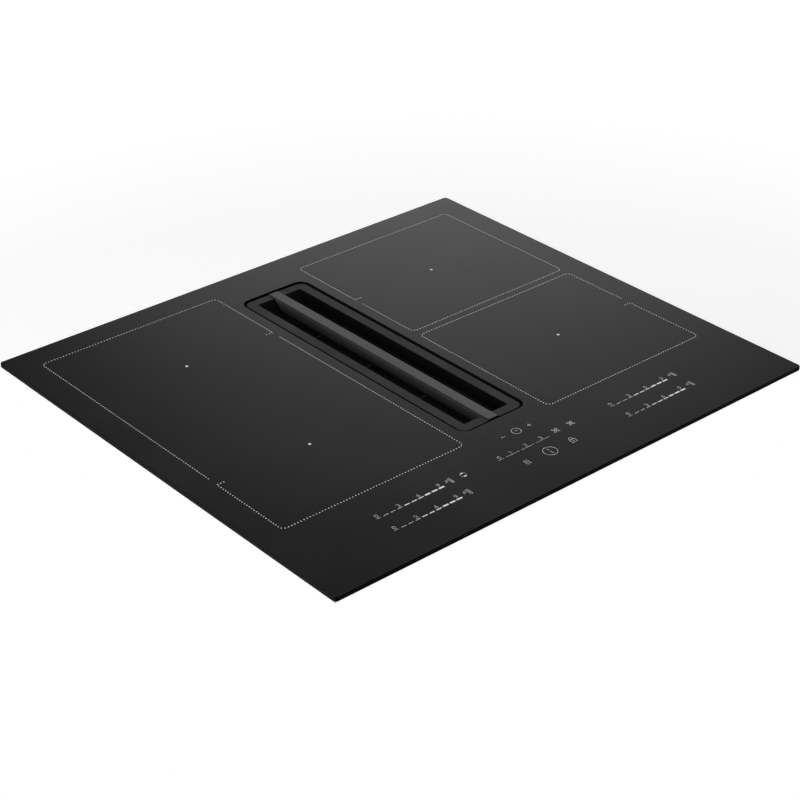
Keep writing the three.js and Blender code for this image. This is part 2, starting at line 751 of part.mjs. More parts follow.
// Coils: a mica sheet over each pair, and a winding, a carrier and a sensor for each
for (const { side, sign } of SIDES) {
  const x = sign * coilX;
  const sheetArea = mirrored(grow(coilPlateArea, -COIL_MARGIN / 2), sign);
  const sensorHoles = coilRows.map(({ y }) => area(SENSOR_RADIUS + 1, SENSOR_RADIUS + 1, 0, x, y));
  add(`coil_insulation_${side}`, plate(sheetArea, windingTop, glassUnder, ...sensorHoles), FINISH.mica);

  for (const { row, y } of coilRows) {
    const outer = coilRadius - WINDING_RIM;
    const turn = (outer - COIL_HOLE_RADIUS) / WINDING_TURNS;
    const crests = range(WINDING_TURNS).flatMap((index) => {
      const near = outer - index * turn;
      const far = near - turn;
      const crest = [[near - WINDING_GROOVE / 2, windingTop], [far + WINDING_GROOVE / 2, windingTop]];
      const groove = [far, windingTop - WINDING_GROOVE];
      return index < WINDING_TURNS - 1 ? [...crest, groove] : crest;
    });
    const winding = revolve([
      [COIL_HOLE_RADIUS, carrierTop],
      [outer, carrierTop],
      [outer, windingTop - WINDING_GROOVE],
      ...crests,
      [COIL_HOLE_RADIUS, windingTop - WINDING_GROOVE],
    ], 16, x, y);
    add(`coil_winding_${side}_${row}`, winding, FINISH.copper);

    // The carrier holds the ferrite bars in its underside
    const disc = tube(coilRadius, COIL_HOLE_RADIUS - WINDING_RIM, ferriteTop, carrierTop, 16, x, y);
    const barLength = outer - COIL_HOLE_RADIUS - WINDING_RIM;
    const bars = range(FERRITE_COUNT).map((index) => {
      const bar = plate(area(barLength / 2, FERRITE_WIDTH / 2), coilPlateTop, ferriteTop + 1);
      bar.translate(COIL_HOLE_RADIUS + WINDING_RIM + barLength / 2, 0, 0);
      return bar.rotateZ((index / FERRITE_COUNT) * 2 * Math.PI).translate(x, y, 0);
    });
    add(`coil_carrier_${side}_${row}`, join(disc, ...bars), FINISH.greyPlastic);
    add(`coil_sensor_${side}_${row}`, rod(SENSOR_RADIUS, coilPlateTop, glassUnder, 10, x, y), FINISH.ferrite);
  }
  const plateArea = mirrored(coilPlateArea, sign);
  const postTop = coilPlateTop - COIL_PLATE_THICKNESS / 2;
  const standOffs = cornerPosts(plateArea, PILLAR_INSET, PILLAR_RADIUS, postTop);
  const coilPlate = plate(plateArea, coilPlateUnder, coilPlateTop);
  add(`coil_plate_${side}`, join(coilPlate, ...standOffs), FINISH.aluminium);
}

// Power boards with their soldered parts, and a heat sink on each in line with its cooling fan
for (const { side, sign } of SIDES) {
  const middle = sign * boardArea.x;
  const sinkFront = boardFront + BOARD_SPACER_INSET;

  // Capacitors beside the heat sink towards the well, relays on its other side, choke behind it
  const capacitors = range(3).map((index) => rod(
    CAPACITOR_RADIUS,
    boardUnder + BOARD_THICKNESS / 2,
    partsCeiling,
    10,
    middle - sign * (HEAT_SINK_WIDTH / 2 + CAPACITOR_RADIUS + PARTS_GAP),
    sinkFront + CAPACITOR_RADIUS + index * (2 * CAPACITOR_RADIUS + PARTS_GAP),
  ));
  const relays = range(3).map((index) => plate(
    area(
      RELAY_WIDTH / 2,
      RELAY_LENGTH / 2,
      0,
      middle + sign * (HEAT_SINK_WIDTH / 2 + RELAY_WIDTH / 2 + PARTS_GAP),
      sinkFront + RELAY_LENGTH / 2 + index * (RELAY_LENGTH + PARTS_GAP),
    ),
    boardUnder + BOARD_THICKNESS / 2,
    Math.min(boardTop + RELAY_HEIGHT, partsCeiling),
  ));
  const choke = tube(
    CHOKE_RADIUS,
    CHOKE_RADIUS / 2,
    boardUnder + BOARD_THICKNESS / 2,
    boardTop + CHOKE_RADIUS,
    14,
    middle,
    sinkFront + HEAT_SINK_LENGTH + CHOKE_RADIUS + PARTS_GAP,
  );
  const outline = mirrored(boardArea, sign);
  const spacerTop = boardUnder + BOARD_THICKNESS / 2;
  const spacers = cornerPosts(outline, BOARD_SPACER_INSET, BOARD_SPACER_RADIUS, spacerTop);
  const board = join(plate(outline, boardUnder, boardTop), ...spacers, ...capacitors, ...relays, choke);
  add(`power_board_${side}`, board, FINISH.board);

  const sinkLeft = middle - HEAT_SINK_WIDTH / 2;
  const finStep = (HEAT_SINK_WIDTH - HEAT_SINK_FIN) / (HEAT_SINK_FIN_COUNT - 1);
  const sinkBase = boardTop + HEAT_SINK_BASE;
  const comb = range(HEAT_SINK_FIN_COUNT).reverse().flatMap((index) => {
    const left = sinkLeft + index * finStep;
    return [
      [left + HEAT_SINK_FIN, sinkBase],
      [left + HEAT_SINK_FIN, partsCeiling],
      [left, partsCeiling],
      [left, sinkBase],
    ];
  });
  const section = [[sinkLeft, boardTop], [sinkLeft + HEAT_SINK_WIDTH, boardTop], ...comb.slice(1, -1)];
  add(`heat_sink_${side}`, prism(section, 'y', sinkFront, sinkFront + HEAT_SINK_LENGTH), FINISH.aluminium);
}

// Cooling fans: a frame whose struts hold the motor, and a bladed rotor on its pin
for (const { side, sign } of SIDES) {
  const x = sign * coolerX;
  const y = coolerY;
  const top = trayFloor + COOLER_HEIGHT;
  const plateUnder = top - COOLER_HUB_PLATE;
  const bore = COOLER_SIZE / 2 - COOLER_RIM;
  const reach = COOLER_SIZE / 2;
  const frameArea = area(reach, reach, PILLAR_RADIUS, x, y);
  const struts = range(3).map((index) => {
    const strut = plate(area(reach / 2 - 1, COOLER_STRUT / 2), plateUnder, top);
    strut.translate(reach / 2, 0, 0);
    return strut.rotateZ(Math.PI / 2 + index * 2 * Math.PI / 3).translate(x, y, 0);
  });
  const frame = join(
    carve(plate(frameArea, trayFloor, top), rod(bore, trayFloor - 1, top + 1, 24, x, y)),
    rod(COOLER_HUB_RADIUS, plateUnder, top, 12, x, y),
    rod(COOLER_PIN_RADIUS, trayFloor + COOLER_STRUT + COOLER_HUB_PLATE, top - 1, 8, x, y),
    ...struts,
  );
  add(`cooler_frame_${side}`, frame, FINISH.blackPlastic);

  const hubUnder = trayFloor + COOLER_STRUT;
  const hubTop = plateUnder - ASSEMBLY_GAP;
  const seat = hubUnder + COOLER_HUB_PLATE - RUNNING_GAP;
  const hub = revolve([
    [0, hubUnder],
    [COOLER_HUB_RADIUS, hubUnder],
    [COOLER_HUB_RADIUS, hubTop],
    [COOLER_PIN_RADIUS + RUNNING_GAP, hubTop],
    [COOLER_PIN_RADIUS + RUNNING_GAP, seat],
    [0, seat],
  ], 14, x, y);
  const chord = (hubTop - hubUnder) / Math.sin(THREE.MathUtils.degToRad(COOLER_BLADE_PITCH));
  const bladeReach = rod(bore - COOLER_TIP_GAP, hubUnder, hubTop, 14, x, y);
  const blades = range(COOLER_BLADE_COUNT).map((index) => {
    const blade = new THREE.BoxGeometry(bore, chord, COOLER_BLADE_THICKNESS);
    blade.rotateX(THREE.MathUtils.degToRad(COOLER_BLADE_PITCH));
    blade.translate(bore / 2 + COOLER_HUB_RADIUS / 2, 0, (hubTop + hubUnder) / 2);
    blade.rotateZ(index * 2 * Math.PI / COOLER_BLADE_COUNT).translate(x, y, 0);
    return common(blade, bladeReach);
  });
  add(`cooler_rotor_${side}`, join(hub, ...blades), FINISH.blackPlastic);
}

// Touch control under the front strip of the glass: a celled carrier, and the board with its springs
{
  const cellWidth = (CONTROL_WIDTH - CONTROL_WALL) / CONTROL_CELL_COUNT - CONTROL_WALL;
  const cells = range(CONTROL_CELL_COUNT).map((index) => {
    const left = -CONTROL_WIDTH / 2 + CONTROL_WALL + index * (cellWidth + CONTROL_WALL);
    const front = controlArea.y - controlArea.halfY + CONTROL_WALL;
    return span(left, left + cellWidth, front, front + 2 * (controlArea.halfY - CONTROL_WALL));
  });
  const carrier = carve(
    plate(controlArea, controlUnder, glassUnder),
    ...cells.map((cell) => plate(cell, controlUnder - 1, glassUnder + 1)),
  );
  add('control_carrier', carrier, FINISH.blackPlastic);
  const springs = cells.flatMap((cell) => [-1, 0, 1].map((step) => rod(
    TOUCH_SPRING_RADIUS,
    controlUnder - BOARD_THICKNESS / 2,
    glassUnder,
    6,
    cell.x + step * cellWidth / 3,
    cell.y - cell.halfY / 2,
  )));
  const postArea = { ...controlArea, halfX: CONTROL_PILLAR_X + PILLAR_INSET };
  const posts = cornerPosts(postArea, PILLAR_INSET, PILLAR_RADIUS, controlUnder - BOARD_THICKNESS / 2);
  const board = plate(controlArea, controlBoardUnder, controlUnder);
  add('control_board', join(board, ...springs, ...posts), FINISH.board);
}

// Fan case: lugs along both long sides of the joint carry the screws
const lugPlaces = [-0.75, 0, 0.75].flatMap((share) => [-1, 1].map((end) => ({
  x: caseArea.x + end * (caseArea.halfX + SCREW_HEAD_RADIUS + ASSEMBLY_GAP),
  y: caseArea.y + share * caseArea.halfY,
})));
const lugHoles = lugPlaces.map(({ x, y }) => rod(
  SCREW_RADIUS + RUNNING_GAP,
  LOWER_CASE_HEIGHT - CASE_LUG_HEIGHT - 1,
  LOWER_CASE_HEIGHT + CASE_LUG_HEIGHT + 1,
  6,
  x,
  y,
));
const caseFlangeArea = grow(caseArea, CASE_FLANGE);

/** Upright ribs between two levels on the case's side walls, its front, and its back clear of the outlet. */
function caseRibs(bottom, top) {
  const rib = (halfX, halfY, x, y) => plate(area(halfX, halfY, 0, x, y), bottom, top);
  const places = (reach) => {
    const count = 2 * Math.floor((reach - 2 * CASE_CORNER_RADIUS) / CASE_RIB_PITCH);
    return range(count).map((index) => (index - (count - 1) / 2) * CASE_RIB_PITCH);
  };
  const half = CASE_RIB_WIDTH / 2;
  const sideRibs = places(caseArea.halfY).flatMap((offset) => [-1, 1].map((end) => rib(
    CASE_RIB_DEPTH,
    half,
    caseArea.x + end * caseArea.halfX,
    caseArea.y + offset,
  )));
  const across = places(caseArea.halfX).map((offset) => caseArea.x + offset);
  const outletLeft = outletX - OUTLET_WIDTH / 2 - OUTLET_FLANGE_WIDTH - CASE_RIB_PITCH / 4;
  const frontRibs = across.map((x) => rib(half, CASE_RIB_DEPTH, x, caseFront));
  const backRibs = across.filter((x) => x < outletLeft).map((x) => rib(half, CASE_RIB_DEPTH, x, caseBack));
  return [...sideRibs, ...frontRibs, ...backRibs];
}

{
  const outside = join(
    plate(caseArea, 0, LOWER_CASE_HEIGHT),
    plate(caseFlangeArea, LOWER_CASE_HEIGHT - CASE_FLANGE_THICKNESS, LOWER_CASE_HEIGHT),
    ...lugPlaces.map(({ x, y }) => rod(
      CASE_LUG_RADIUS,
      LOWER_CASE_HEIGHT - CASE_LUG_HEIGHT,
      LOWER_CASE_HEIGHT,
      8,
      x,
      y,
    )),
    ...caseRibs(CASE_WALL, LOWER_CASE_HEIGHT - CASE_FLANGE_THICKNESS / 2),
  );
  const shell = carve(outside, plate(caseInside, CASE_WALL, LOWER_CASE_HEIGHT + 1));

  // Posts that carry the inlet plate where the volute wall doesn't reach
  const postInset = CASE_CORNER_RADIUS / 2;
  const posts = [-1, 1].map((end) => rod(
    CASE_LUG_RADIUS,
    CASE_WALL - 1,
    lowerInsideTop,
    10,
    caseInside.x - caseInside.halfX + postInset,
    caseInside.y + end * (caseInside.halfY - postInset),
  ));
  const outlet = new THREE.BoxGeometry(
    OUTLET_WIDTH - 2 * OUTLET_WALL,
    4 * CASE_WALL,
    OUTLET_HEIGHT - 2 * OUTLET_WALL,
  ).translate(outletX, caseBack, outletZ);

  // Shallow pockets that leave a grid of ribs under the floor
  const gridArea = grow(caseArea, -CASE_CORNER_RADIUS / 2);
  const cellX = 2 * gridArea.halfX / CASE_GRID_COLUMNS;
  const cellY = 2 * gridArea.halfY / CASE_GRID_ROWS;
  const pockets = range(CASE_GRID_COLUMNS * CASE_GRID_ROWS).map((index) => {
    const column = index % CASE_GRID_COLUMNS;
    const row = Math.floor(index / CASE_GRID_COLUMNS);
    const x = gridArea.x - gridArea.halfX + (column + 0.5) * cellX;
    const y = gridArea.y - gridArea.halfY + (row + 0.5) * cellY;
    const pocket = area((cellX - CASE_GRID_RIB) / 2, (cellY - CASE_GRID_RIB) / 2, 0, x, y);
    return plate(pocket, -1, CASE_POCKET_DEPTH);
  });
  const whole = carve(join(shell, ...posts), outlet, ...lugHoles, ...pockets);
  add('fan_case_lower', whole, FINISH.blackPlastic);
}

// Volute insert: a spiral wall from the tongue round to the right-hand wall of the case, and a straight
// wall from the tongue to the outlet
{
  const spiral = range(VOLUTE_STEPS + 1).map((step) => {
    const angle = VOLUTE_TONGUE_ANGLE + (VOLUTE_END_ANGLE - VOLUTE_TONGUE_ANGLE) * step / VOLUTE_STEPS;
    return { radius: voluteRadius(angle), turn: THREE.MathUtils.degToRad(angle) };
  });
  const along = (extra) => spiral.map(({ radius, turn }) => [
    impellerX + (radius + extra) * Math.cos(turn),
    impellerY + (radius + extra) * Math.sin(turn),
  ]);
  const scroll = prism([...along(0), ...along(CASE_WALL).reverse()], 'z', CASE_WALL, lowerInsideTop);
  const [tongue] = along(CASE_WALL / 2);
  const outletLeft = outletX - OUTLET_WIDTH / 2 + OUTLET_WALL - CASE_WALL / 2;
  const wallRun = new THREE.Vector2(outletLeft - tongue[0], caseBack - CASE_WALL / 2 - tongue[1]);
  const across = wallRun.clone().normalize().rotateAround(new THREE.Vector2(), Math.PI / 2);
  across.multiplyScalar(CASE_WALL / 2);
  const diffuser = prism([
    [tongue[0] - across.x, tongue[1] - across.y],
    [tongue[0] + wallRun.x - across.x, tongue[1] + wallRun.y - across.y],
    [tongue[0] + wallRun.x + across.x, tongue[1] + wallRun.y + across.y],
    [tongue[0] + across.x, tongue[1] + across.y],
  ], 'z', CASE_WALL, lowerInsideTop);
  const room = plate(grow(caseInside, -ASSEMBLY_GAP), CASE_WALL, lowerInsideTop);
  add('volute_insert', common(join(scroll, diffuser), room), FINISH.blackPlastic);
}

{
  const top = trayUnder;
  const outside = join(
    plate(caseArea, LOWER_CASE_HEIGHT, top),
    plate(caseFlangeArea, LOWER_CASE_HEIGHT, LOWER_CASE_HEIGHT + CASE_FLANGE_THICKNESS),
    ...lugPlaces.map(({ x, y }) => rod(
      CASE_LUG_RADIUS,
      LOWER_CASE_HEIGHT,
      LOWER_CASE_HEIGHT + CASE_LUG_HEIGHT,
      8,
      x,
      y,
    )),
    ...caseRibs(LOWER_CASE_HEIGHT + CASE_FLANGE_THICKNESS / 2, top - CASE_WALL),
  );
  const cover = carve(
    outside,
    plate(caseInside, LOWER_CASE_HEIGHT - 1, top - CASE_WALL),
    plate(wellHole, top - CASE_WALL - 1, top + 1),
    ...lugHoles,
  );
  add('fan_case_cover', cover, FINISH.blackPlastic);
  lugPlaces.forEach(({ x, y }, index) => {
    const pin = screw(x, y, LOWER_CASE_HEIGHT - CASE_LUG_HEIGHT, 2 * CASE_LUG_HEIGHT - RUNNING_GAP);
    add(`case_screw_${index + 1}`, pin, FINISH.zincSteel);
  });
}

// Inlet plate: closes the volute and forms the plenum floor, with a bell mouth over the impeller
{
  const plateArea = grow(caseInside, -ASSEMBLY_GAP);
  const floor = plate(plateArea, lowerInsideTop, LOWER_CASE_HEIGHT);
  const outer = eyeRadius + BELL_WALL;
  const bellFoot = lowerInsideTop - BELL_DEPTH;
  const bell = revolve([
    [eyeRadius, bellFoot],
    [outer, bellFoot],
    [outer, lowerInsideTop],
    [outer + EYE_LIP, lowerInsideTop],
    [outer + EYE_LIP, LOWER_CASE_HEIGHT],
    [outer + EYE_LIP / 2, LOWER_CASE_HEIGHT + BELL_WALL],
    [outer, LOWER_CASE_HEIGHT + BELL_WALL / 2],
    [eyeRadius, lowerInsideTop - BELL_WALL],
  ], 32, impellerX, impellerY);
  const hole = rod(outer + EYE_LIP / 2, lowerInsideTop - 1, LOWER_CASE_HEIGHT + 1, 32, impellerX, impellerY);
  add('inlet_plate', join(carve(floor, hole), bell), FINISH.blackPlastic);
}

// Impeller: forward-curved blades between a back plate and a ring, on a cup over the motor
{
  const motorTop = CASE_WALL + MOTOR_HEIGHT;
  const plateUnder = CASE_WALL + IMPELLER_FLOOR_GAP;
  const plateTop = plateUnder + IMPELLER_PLATE;
  const top = lowerInsideTop - BELL_DEPTH - IMPELLER_TOP_GAP;
  const cupInner = MOTOR_RADIUS + HUB_GAP;
  const cupOuter = cupInner + HUB_WALL;
  const bossFoot = motorTop + 1;
  const cupUnder = bossFoot + HUB_GAP * 2;
  const cupTop = cupUnder + HUB_WALL;
  const boreRadius = MOTOR_SHAFT_RADIUS + RUNNING_GAP;
  const disc = revolve([
    [boreRadius, cupTop],
    [cupOuter - HUB_GAP * 2, cupTop],
    [cupOuter, cupTop - HUB_GAP * 2],
    [cupOuter, plateTop],
    [IMPELLER_RADIUS, plateTop],
    [IMPELLER_RADIUS, plateUnder],
    [cupInner, plateUnder],
    [cupInner, cupUnder - HUB_GAP * 2],
    [cupInner - HUB_GAP * 2, cupUnder],
    [HUB_BOSS_RADIUS, cupUnder],
    [HUB_BOSS_RADIUS, bossFoot],
    [boreRadius, bossFoot],
  ], 24);
  const ringInner = IMPELLER_RADIUS - IMPELLER_RING_WIDTH;
  const ring = tube(IMPELLER_RADIUS, ringInner, top - IMPELLER_RING_HEIGHT, top, 36);
  const tip = IMPELLER_RADIUS - ASSEMBLY_GAP;
  const stations = [0, 0.5, 1].map((share) => ({
    radius: bladeInner + share * (tip - bladeInner),
    turn: THREE.MathUtils.degToRad(IMPELLER_BLADE_SWEEP) * share ** 2,
  }));
  const edge = (offset) => stations.map(({ radius, turn }) => [
    radius * Math.cos(turn + offset / radius),
    radius * Math.sin(turn + offset / radius),
  ]);
  const half = IMPELLER_BLADE_THICKNESS / 2;
  const section = [...edge(-half), ...edge(half).reverse()];
  const blades = range(IMPELLER_BLADE_COUNT).map((index) => prism(
    section,
    'z',
    plateTop - IMPELLER_PLATE / 2,
    top - IMPELLER_RING_HEIGHT / 2,
  ).rotateZ(index * 2 * Math.PI / IMPELLER_BLADE_COUNT));
  const impeller = join(disc, ring, ...blades).translate(impellerX, impellerY, 0);
  add('impeller', impeller, FINISH.greyPlastic);

  const seat = CASE_WALL + MOTOR_SHAFT_SEAT;
  const stator = revolve([
    [0, CASE_WALL],
    [MOTOR_BASE_RADIUS, CASE_WALL],
    [MOTOR_BASE_RADIUS, CASE_WALL + MOTOR_BASE],
    [MOTOR_RADIUS, CASE_WALL + MOTOR_BASE],
    [MOTOR_RADIUS, motorTop],
    [boreRadius, motorTop],
    [boreRadius, seat],
    [0, seat],
  ], 18, impellerX, impellerY);
  add('fan_motor', stator, FINISH.zincSteel);
  const shaft = rod(MOTOR_SHAFT_RADIUS, seat + RUNNING_GAP, cupTop + HUB_WALL, 10, impellerX, impellerY);
  add('motor_shaft', shaft, FINISH.springSteel);
}

// Duct outlet on the rear wall
{
  const halfX = OUTLET_WIDTH / 2;
  const halfZ = OUTLET_HEIGHT / 2;
  const laid = (base, from, to) => plate(base, from, to).rotateX(Math.PI / 2)
    .translate(outletX, 0, outletZ);
  const flangeArea = area(halfX + OUTLET_FLANGE_WIDTH, halfZ + OUTLET_FLANGE_WIDTH);
  const tubeArea = area(halfX, halfZ, OUTLET_RADIUS);
  const flange = laid(flangeArea, -caseBack - OUTLET_FLANGE, -caseBack);
  const sleeve = laid(tubeArea, -caseBack - OUTLET_LENGTH, -caseBack);
  const beadEnd = -caseBack - OUTLET_LENGTH / 2;
  const bead = laid(grow(tubeArea, OUTLET_BEAD), beadEnd - OUTLET_BEAD_WIDTH, beadEnd);
  const bore = laid(grow(tubeArea, -OUTLET_WALL), -caseBack - OUTLET_LENGTH - 1, -caseBack + 1);
  add('duct_outlet', carve(join(flange, sleeve, bead), bore), FINISH.blackPlastic);
}

// Mains connection under the tray: box, block, cover and gland
{
  const left = -trayArea.halfX;
  const right = CASE_LEFT - CASE_FLANGE - CASE_LUG_RADIUS;
  const boxBack = trayArea.halfY - TERMINAL_BOX_BACK_MARGIN;
  const boxArea = area(
    TERMINAL_BOX_WIDTH / 2,
    TERMINAL_BOX_DEPTH / 2,
    3,
    (left + right) / 2,
    boxBack - TERMINAL_BOX_DEPTH / 2,
  );
  const foot = trayUnder - TERMINAL_BOX_HEIGHT;
  const inside = grow(boxArea, -TERMINAL_BOX_WALL);
  const rear = boxArea.y + boxArea.halfY;
  const middle = (foot + trayUnder) / 2;
  const glandHole = rod(GLAND_RADIUS + RUNNING_GAP, -2 * TERMINAL_BOX_WALL, 2 * TERMINAL_BOX_WALL, 16)
    .rotateX(-Math.PI / 2).translate(boxArea.x, rear, middle);
  const roof = trayUnder - TERMINAL_BOX_WALL;
  const box = carve(plate(boxArea, foot, trayUnder), plate(inside, foot - 1, roof), glandHole);
  add('terminal_box', box, FINISH.blackPlastic);

  const blockY = boxArea.y - boxArea.halfY / 3;
  const block = plate(
    area(TERMINAL_BLOCK_WIDTH / 2, TERMINAL_BLOCK_DEPTH / 2, 0, boxArea.x, blockY),
    roof - TERMINAL_BLOCK_HEIGHT,
    roof,
  );
  const poles = range(TERMINAL_POLES).map((index) => rod(
    SCREW_HEAD_RADIUS,
    roof - TERMINAL_BLOCK_HEIGHT - 1,
    roof - TERMINAL_BLOCK_HEIGHT / 2,
    8,
    boxArea.x + ((index + 0.5) / TERMINAL_POLES - 0.5) * TERMINAL_BLOCK_WIDTH,
    blockY,
  ));
  add('terminal_block', carve(block, ...poles), FINISH.mica);
  add('terminal_cover', plate(boxArea, foot - TERMINAL_COVER, foot), FINISH.blackPlastic);

  const nutFront = rear + RUNNING_GAP;
  const lockNut = rear - TERMINAL_BOX_WALL - RUNNING_GAP;
  const gland = revolve([
    [GLAND_BORE_RADIUS, lockNut - GLAND_NUT],
    [GLAND_NUT_RADIUS, lockNut - GLAND_NUT],
    [GLAND_NUT_RADIUS, lockNut],
    [GLAND_RADIUS, lockNut],
    [GLAND_RADIUS, nutFront],
    [GLAND_NUT_RADIUS, nutFront],
    [GLAND_NUT_RADIUS, nutFront + GLAND_NUT],
    [GLAND_NUT_RADIUS - 2, nutFront + GLAND_NUT + 1],
    [GLAND_NUT_RADIUS - 2, nutFront + GLAND_DOME],
    [GLAND_BORE_RADIUS + 1, nutFront + GLAND_DOME + 4],
    [GLAND_BORE_RADIUS, nutFront + GLAND_DOME + 4],
  ], 12);
  gland.rotateX(-Math.PI / 2).translate(boxArea.x, 0, middle);
  add('cable_gland', gland, FINISH.greyPlastic);
}

// Bowed leaf springs on the tray's side walls, which centre it in the worktop
{
  const foot = bondUnder - SHEET - SPRING_TOP_GAP - SPRING_HEIGHT;
  const head = foot + SPRING_HEIGHT;
  const wall = trayArea.halfX;
  const leaf = [
    [0, head],
    [0, head - SPRING_HEIGHT * 0.35],
    [SPRING_BOW, head - SPRING_HEIGHT * 0.7],
    [SPRING_BOW * 0.6, foot],
  ];
  const inner = leaf.map(([out, z]) => [wall + out, z]);
  const outer = leaf.map(([out, z]) => [wall + out + SPRING_THICKNESS, z]).reverse();
  for (const { side, sign } of SIDES) {
    for (const { row, end } of [{ row: 'back', end: 1 }, { row: 'front', end: -1 }]) {
      const y = sign * end * SPRING_SPREAD;
      const spring = prism([...outer, ...inner], 'y', y - SPRING_WIDTH / 2, y + SPRING_WIDTH / 2);
      const turned = sign < 0 ? spring.rotateZ(Math.PI) : spring;
      add(`worktop_spring_${side}_${row}`, turned, FINISH.springSteel);
    }
  }
}

export default cooktop;
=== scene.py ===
"""Dresses the packed downdraft induction cooktop: glass, vent, filter, tray, coils, fans and case.

Sizes are in millimetres in the part's own frame: +X right, +Y back, +Z up, z = 0 under the fan case.
"""
import logging
import math
from dataclasses import dataclass
from enum import Enum

import bmesh
import bpy
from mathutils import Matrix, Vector


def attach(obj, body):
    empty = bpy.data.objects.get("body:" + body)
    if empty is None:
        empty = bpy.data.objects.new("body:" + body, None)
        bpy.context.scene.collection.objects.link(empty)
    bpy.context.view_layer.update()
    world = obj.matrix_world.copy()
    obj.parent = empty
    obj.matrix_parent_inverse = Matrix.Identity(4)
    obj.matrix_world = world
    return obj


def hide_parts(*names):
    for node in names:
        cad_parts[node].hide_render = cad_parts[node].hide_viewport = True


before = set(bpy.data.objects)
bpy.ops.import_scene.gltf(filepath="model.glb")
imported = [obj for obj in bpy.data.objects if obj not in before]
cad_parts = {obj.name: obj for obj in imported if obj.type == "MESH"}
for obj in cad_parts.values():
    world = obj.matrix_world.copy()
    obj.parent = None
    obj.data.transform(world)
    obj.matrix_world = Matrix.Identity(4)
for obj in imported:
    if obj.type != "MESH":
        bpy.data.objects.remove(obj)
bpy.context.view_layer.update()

MM = 0.001
# Metres between two points that count as one, in a drawn mesh and in a node's
MERGE, NODE_MERGE = 1e-7, 2e-6
# Degrees between faces: up to FLAT they are one, up to SMOOTH they are shaded as one, past SHARP rounded
FLAT, SMOOTH, SHARP = 1.0, 35.0, 40.0
# How upright a face's normal stands where the face counts as level
LEVEL = 0.99
LOG = logging.getLogger("cooktop")

Point = tuple[float, float, float]
Plan = tuple[float, float]
Plans = tuple[Plan, ...]
Box = tuple[float, float, float, float]
Digits = tuple[tuple[int, float], ...]
Socket = bpy.types.NodeSocket


class Side(Enum):
    """The two halves of the hob, with the sign of their X."""

    LEFT = -1
    RIGHT = 1

    @property
    def word(self) -> str:
        """The side's name as it stands in node names."""
        return self.name.lower()


class Row(Enum):
    """Back and front: the two rows of coils, and the two ends of a line between them."""

    BACK = "back"
    FRONT = "front"


# ---------------------------------------------------------------- nodes and materials


def linear(code: str) -> tuple[float, float, float, float]:
    """Turns an sRGB hex colour into linear light.

    Args:
        code: Six hex digits.

    Returns:
        Red, green, blue and alpha.
    """
    values = []
    for start in (0, 2, 4):
        share = int(code[start:start + 2], 16) / 255
        values.append(share / 12.92 if share <= 0.04045 else ((share + 0.055) / 1.055) ** 2.4)
    return (*values, 1.0)


def add_node(tree: bpy.types.NodeTree, kind: str, settings: dict | None = None,
             inputs: dict | None = None) -> bpy.types.Node:
    """Adds a node with its settings and links.

    Args:
        tree: The tree that gets the node.
        kind: The node's type.
        settings: Its properties by name.
        inputs: Its inputs by name or index, each a value or a socket to link from.

    Returns:
        The node.
    """
    node = tree.nodes.new(kind)
    for key, value in (settings or {}).items():
        setattr(node, key, value)
    for key, value in (inputs or {}).items():
        if isinstance(value, bpy.types.NodeSocket):
            tree.links.new(value, node.inputs[key])
        else:
            node.inputs[key].default_value = value
    return node


